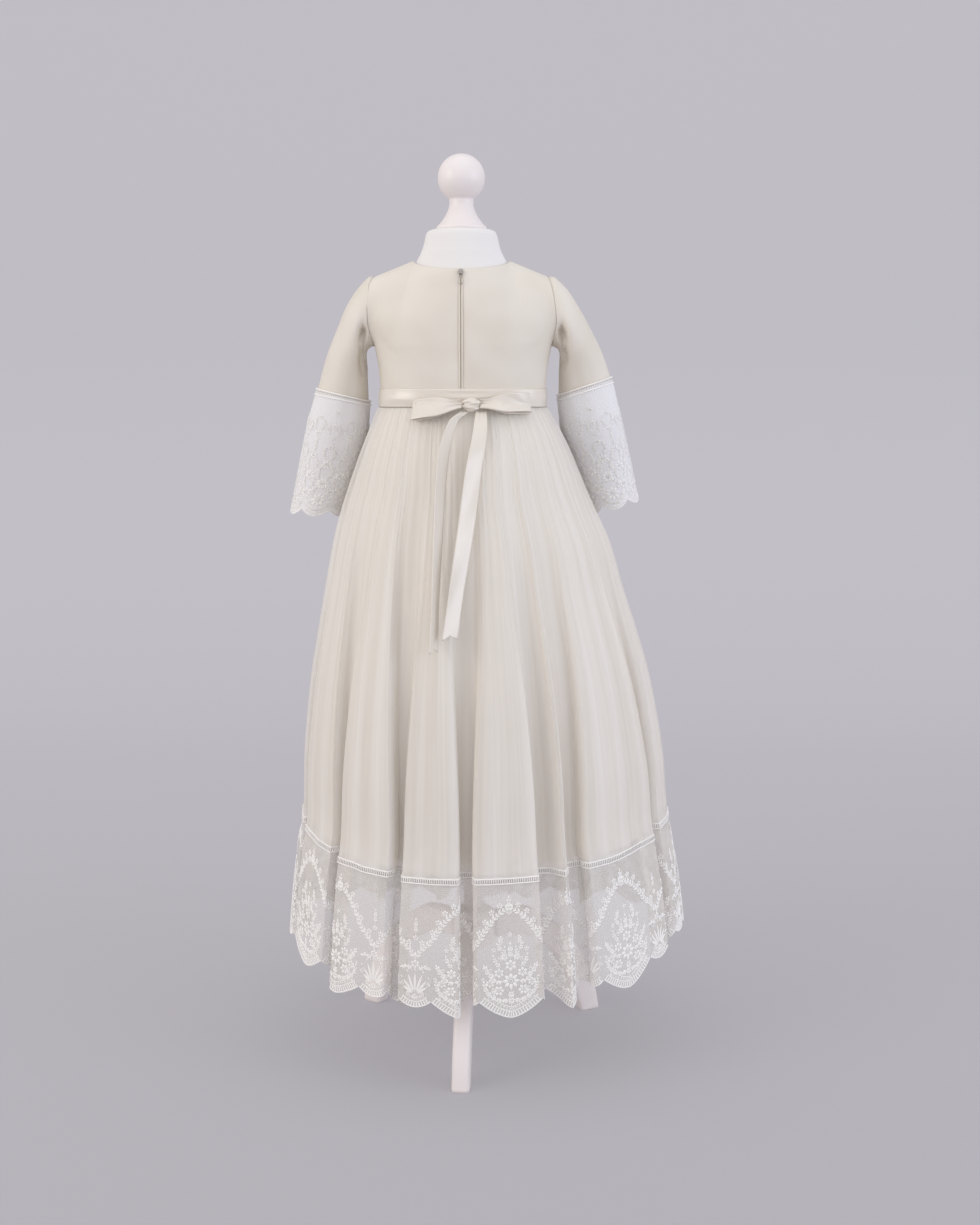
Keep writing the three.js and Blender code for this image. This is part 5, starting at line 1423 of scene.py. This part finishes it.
TAILS = {
    "left": [(722.9, 4, 20, 5), (714, -7, 50, 7), (675, -17.5, 56, 10), (640, -20.3, 60, 10),
             (583, -22.8, 64, 10), (530, -24.8, 70, 10), (479, -26.5, 66, 10)],
    "right": [(723.2, 21.5, 0, 5.6), (708, 21, 15, 7.5), (660, 13.6, 32, 10), (599, 5.6, 30, 10),
              (532, -4.5, 40, 10), (492, -10, 36, 10)],
}
for name, rows in TAILS.items():
    top, bottom = rows[0][0], rows[-1][0]
    z = top + (bottom - top) * np.linspace(0, 1, 90)
    x, turn_degrees, half = np.moveaxis(eased(rows, z), -1, 0)
    turn = np.radians(turn_degrees)
    reaches = [back_reach(x + side * half * np.cos(turn), z) for side in (-1, 0, 1)]
    middle = np.max(reaches, axis=0) + half * np.sin(turn) + 1.6
    across = np.linspace(-1, 1, 13)[None, :]
    fall = np.linspace(0, 1, 90)[:, None]
    # Soft waves down the tail, a dished width and creases under the knot.
    wave = 1.0 * np.sin(fall * 14 + across * 1.2) * smooth_step(fall * 6) + 0.5 * (across**2)
    crease = np.exp(-((fall / 0.06) ** 2)) * 0.6 * np.sin(across * 8)
    notch = 5.0 * (1 - np.abs(across)) * np.where(fall > 0.999, 1, 0)
    points = np.stack(
        [
            x[:, None] + across * half[:, None] * np.cos(turn)[:, None],
            -(middle[:, None] - across * half[:, None] * np.sin(turn)[:, None] + wave + crease),
            z[:, None] + notch + 0 * across,
        ],
        -1,
    )
    points[-2, :, 2] = np.maximum(points[-2, :, 2], points[-1, :, 2] + 0.6)
    places, faces, uvs = cloth_grid(points)
    tail = make_piece(f"bow_tail_{name}_ribbon", places, faces, ribbon, [f"bow_tail_{name}"],
                      uvs[:, ::-1])
    thicken(tail, 0.5)
    tail_length = np.ptp(uvs[:, 1]) / 1000
    min(cloth_area(points), 2 * RIBBON_HALF / 1000 * tail_length)

# Zip: a closed nylon coil between the two backs, with the satin's turned edges as narrow piping beside it.
# The slider is nickel-plated zinc and its pull one loop of wire that swings on the slider's bridge.
coil_nylon, coil_shader = new_material("tan_nylon_coil", "#CDC1AE", 0.5)
coil_place = add_node(coil_nylon, "ShaderNodeTexCoord")
coil_teeth = add_node(
    coil_nylon, "ShaderNodeTexWave", {"Vector": coil_place.outputs["Object"]},
    Scale=260.0, bands_direction="Z",
)
coil_bump = add_node(
    coil_nylon, "ShaderNodeBump", {"Height": coil_teeth.outputs["Fac"]}, Strength=0.5, Distance=0.0004
)
coil_nylon.node_tree.links.new(coil_bump.outputs["Normal"], coil_shader.inputs["Normal"])
zip_ups = np.concatenate([2 - np.linspace(0.0, 1, 120), np.linspace(0.98, 0, 90)])
zip_line = bodice_point(-1, 0 * zip_ups, zip_ups)
zip_line[:, 0] = 0
coil = Stitchwork()
strip = np.stack([zip_line + [x, 0.45, 0] for x in (-0.9, 0.9)], 1)
coil.add(strip, grid_faces(len(strip), 2))
# The teeth's loops, one each 1.5 mm, stand out of the strip.
down_run = np.concatenate([[0], np.cumsum(np.linalg.norm(np.diff(zip_line, axis=0), axis=-1))])
for at in np.arange(6.0, down_run[-1] - 1, 1.5):
    tooth = np.array([np.interp(at, down_run, zip_line[:, k]) for k in range(3)])
    coil.add(
        [tooth + [-0.7, 0.3, 0.4], tooth + [0.7, 0.3, 0.4], tooth + [0.7, -0.1, 0], tooth + [-0.7, -0.1, 0],
         tooth + [0.7, 0.3, -0.4], tooth + [-0.7, 0.3, -0.4]],
        [(0, 1, 2, 3), (3, 2, 4, 5)],
    )
coil.piece("zip_coil_strip", coil_nylon, "zip_coil", ["zip_tape"])
SLIDER_Z = 868.5
piped = zip_line[zip_line[:, 2] < SLIDER_Z - 5]
outward_back = np.tile([0.0, -1.0, 0.0], (len(piped), 1))
for name, x in (("left", -1.45), ("right", 1.45)):
    piping = Stitchwork()
    piping.add(*cord(piped + [x, 0.05, 0], outward_back, 0.85, sides=8, closed=False))
    piping.piece(f"zip_piping_{name}", satin, "satin", [])

nickel, _ = new_material("nickel_plated_zinc", "#B9B5AE", 0.28, Metallic=1.0)
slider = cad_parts["zip_slider"]
slider.data.materials.clear()
slider.data.materials.append(nickel)

back_neck_z = NECK_SIDE_Z - NECKLINE[-1][0]
slider_up = 2 - (back_neck_z - SLIDER_Z) / (back_neck_z - CHEST_Z)
above, below = bodice_point(-1, 0.0, slider_up), bodice_point(-1, 0.0, slider_up - 0.16)
slope = math.atan2(above[1] - below[1], above[2] - below[2])


def on_zip(x, out, up):
    """A place in the slider's own frame: out from the cloth and up along it."""
    y = -out * math.cos(slope) + up * math.sin(slope)
    z = out * math.sin(slope) + up * math.cos(slope)
    return (x, above[1] - 0.65 + y, SLIDER_Z + z)


PULL_WIRE = [(0, 0.2), (1.3, 0.2), (2.3, 0.15), (2.75, -0.5), (2.6, -1.8), (2.0, -3.4), (1.9, -5.0),
             (2.1, -7.0), (2.6, -9.4), (2.55, -11.2), (1.7, -12.7), (0, -13.3)]
pull_side = smooth_path(PULL_WIRE, 4)
pull_path = np.concatenate([pull_side, (pull_side * [-1, 1])[-2:0:-1]])
pull_centre = np.array([on_zip(x, 2.0, up) for x, up in pull_path])
pull_out = np.tile(np.array(on_zip(0, 1, 0)) - np.array(on_zip(0, 0, 0)), (len(pull_centre), 1))
pull = Stitchwork()
pull.add(*cord(pull_centre, pull_out, 0.4, sides=8))
make_piece("zip_pull_wire", np.concatenate(pull.points), pull.faces, nickel, ["zip_pull"],
           body="zip_pull", solid=True)
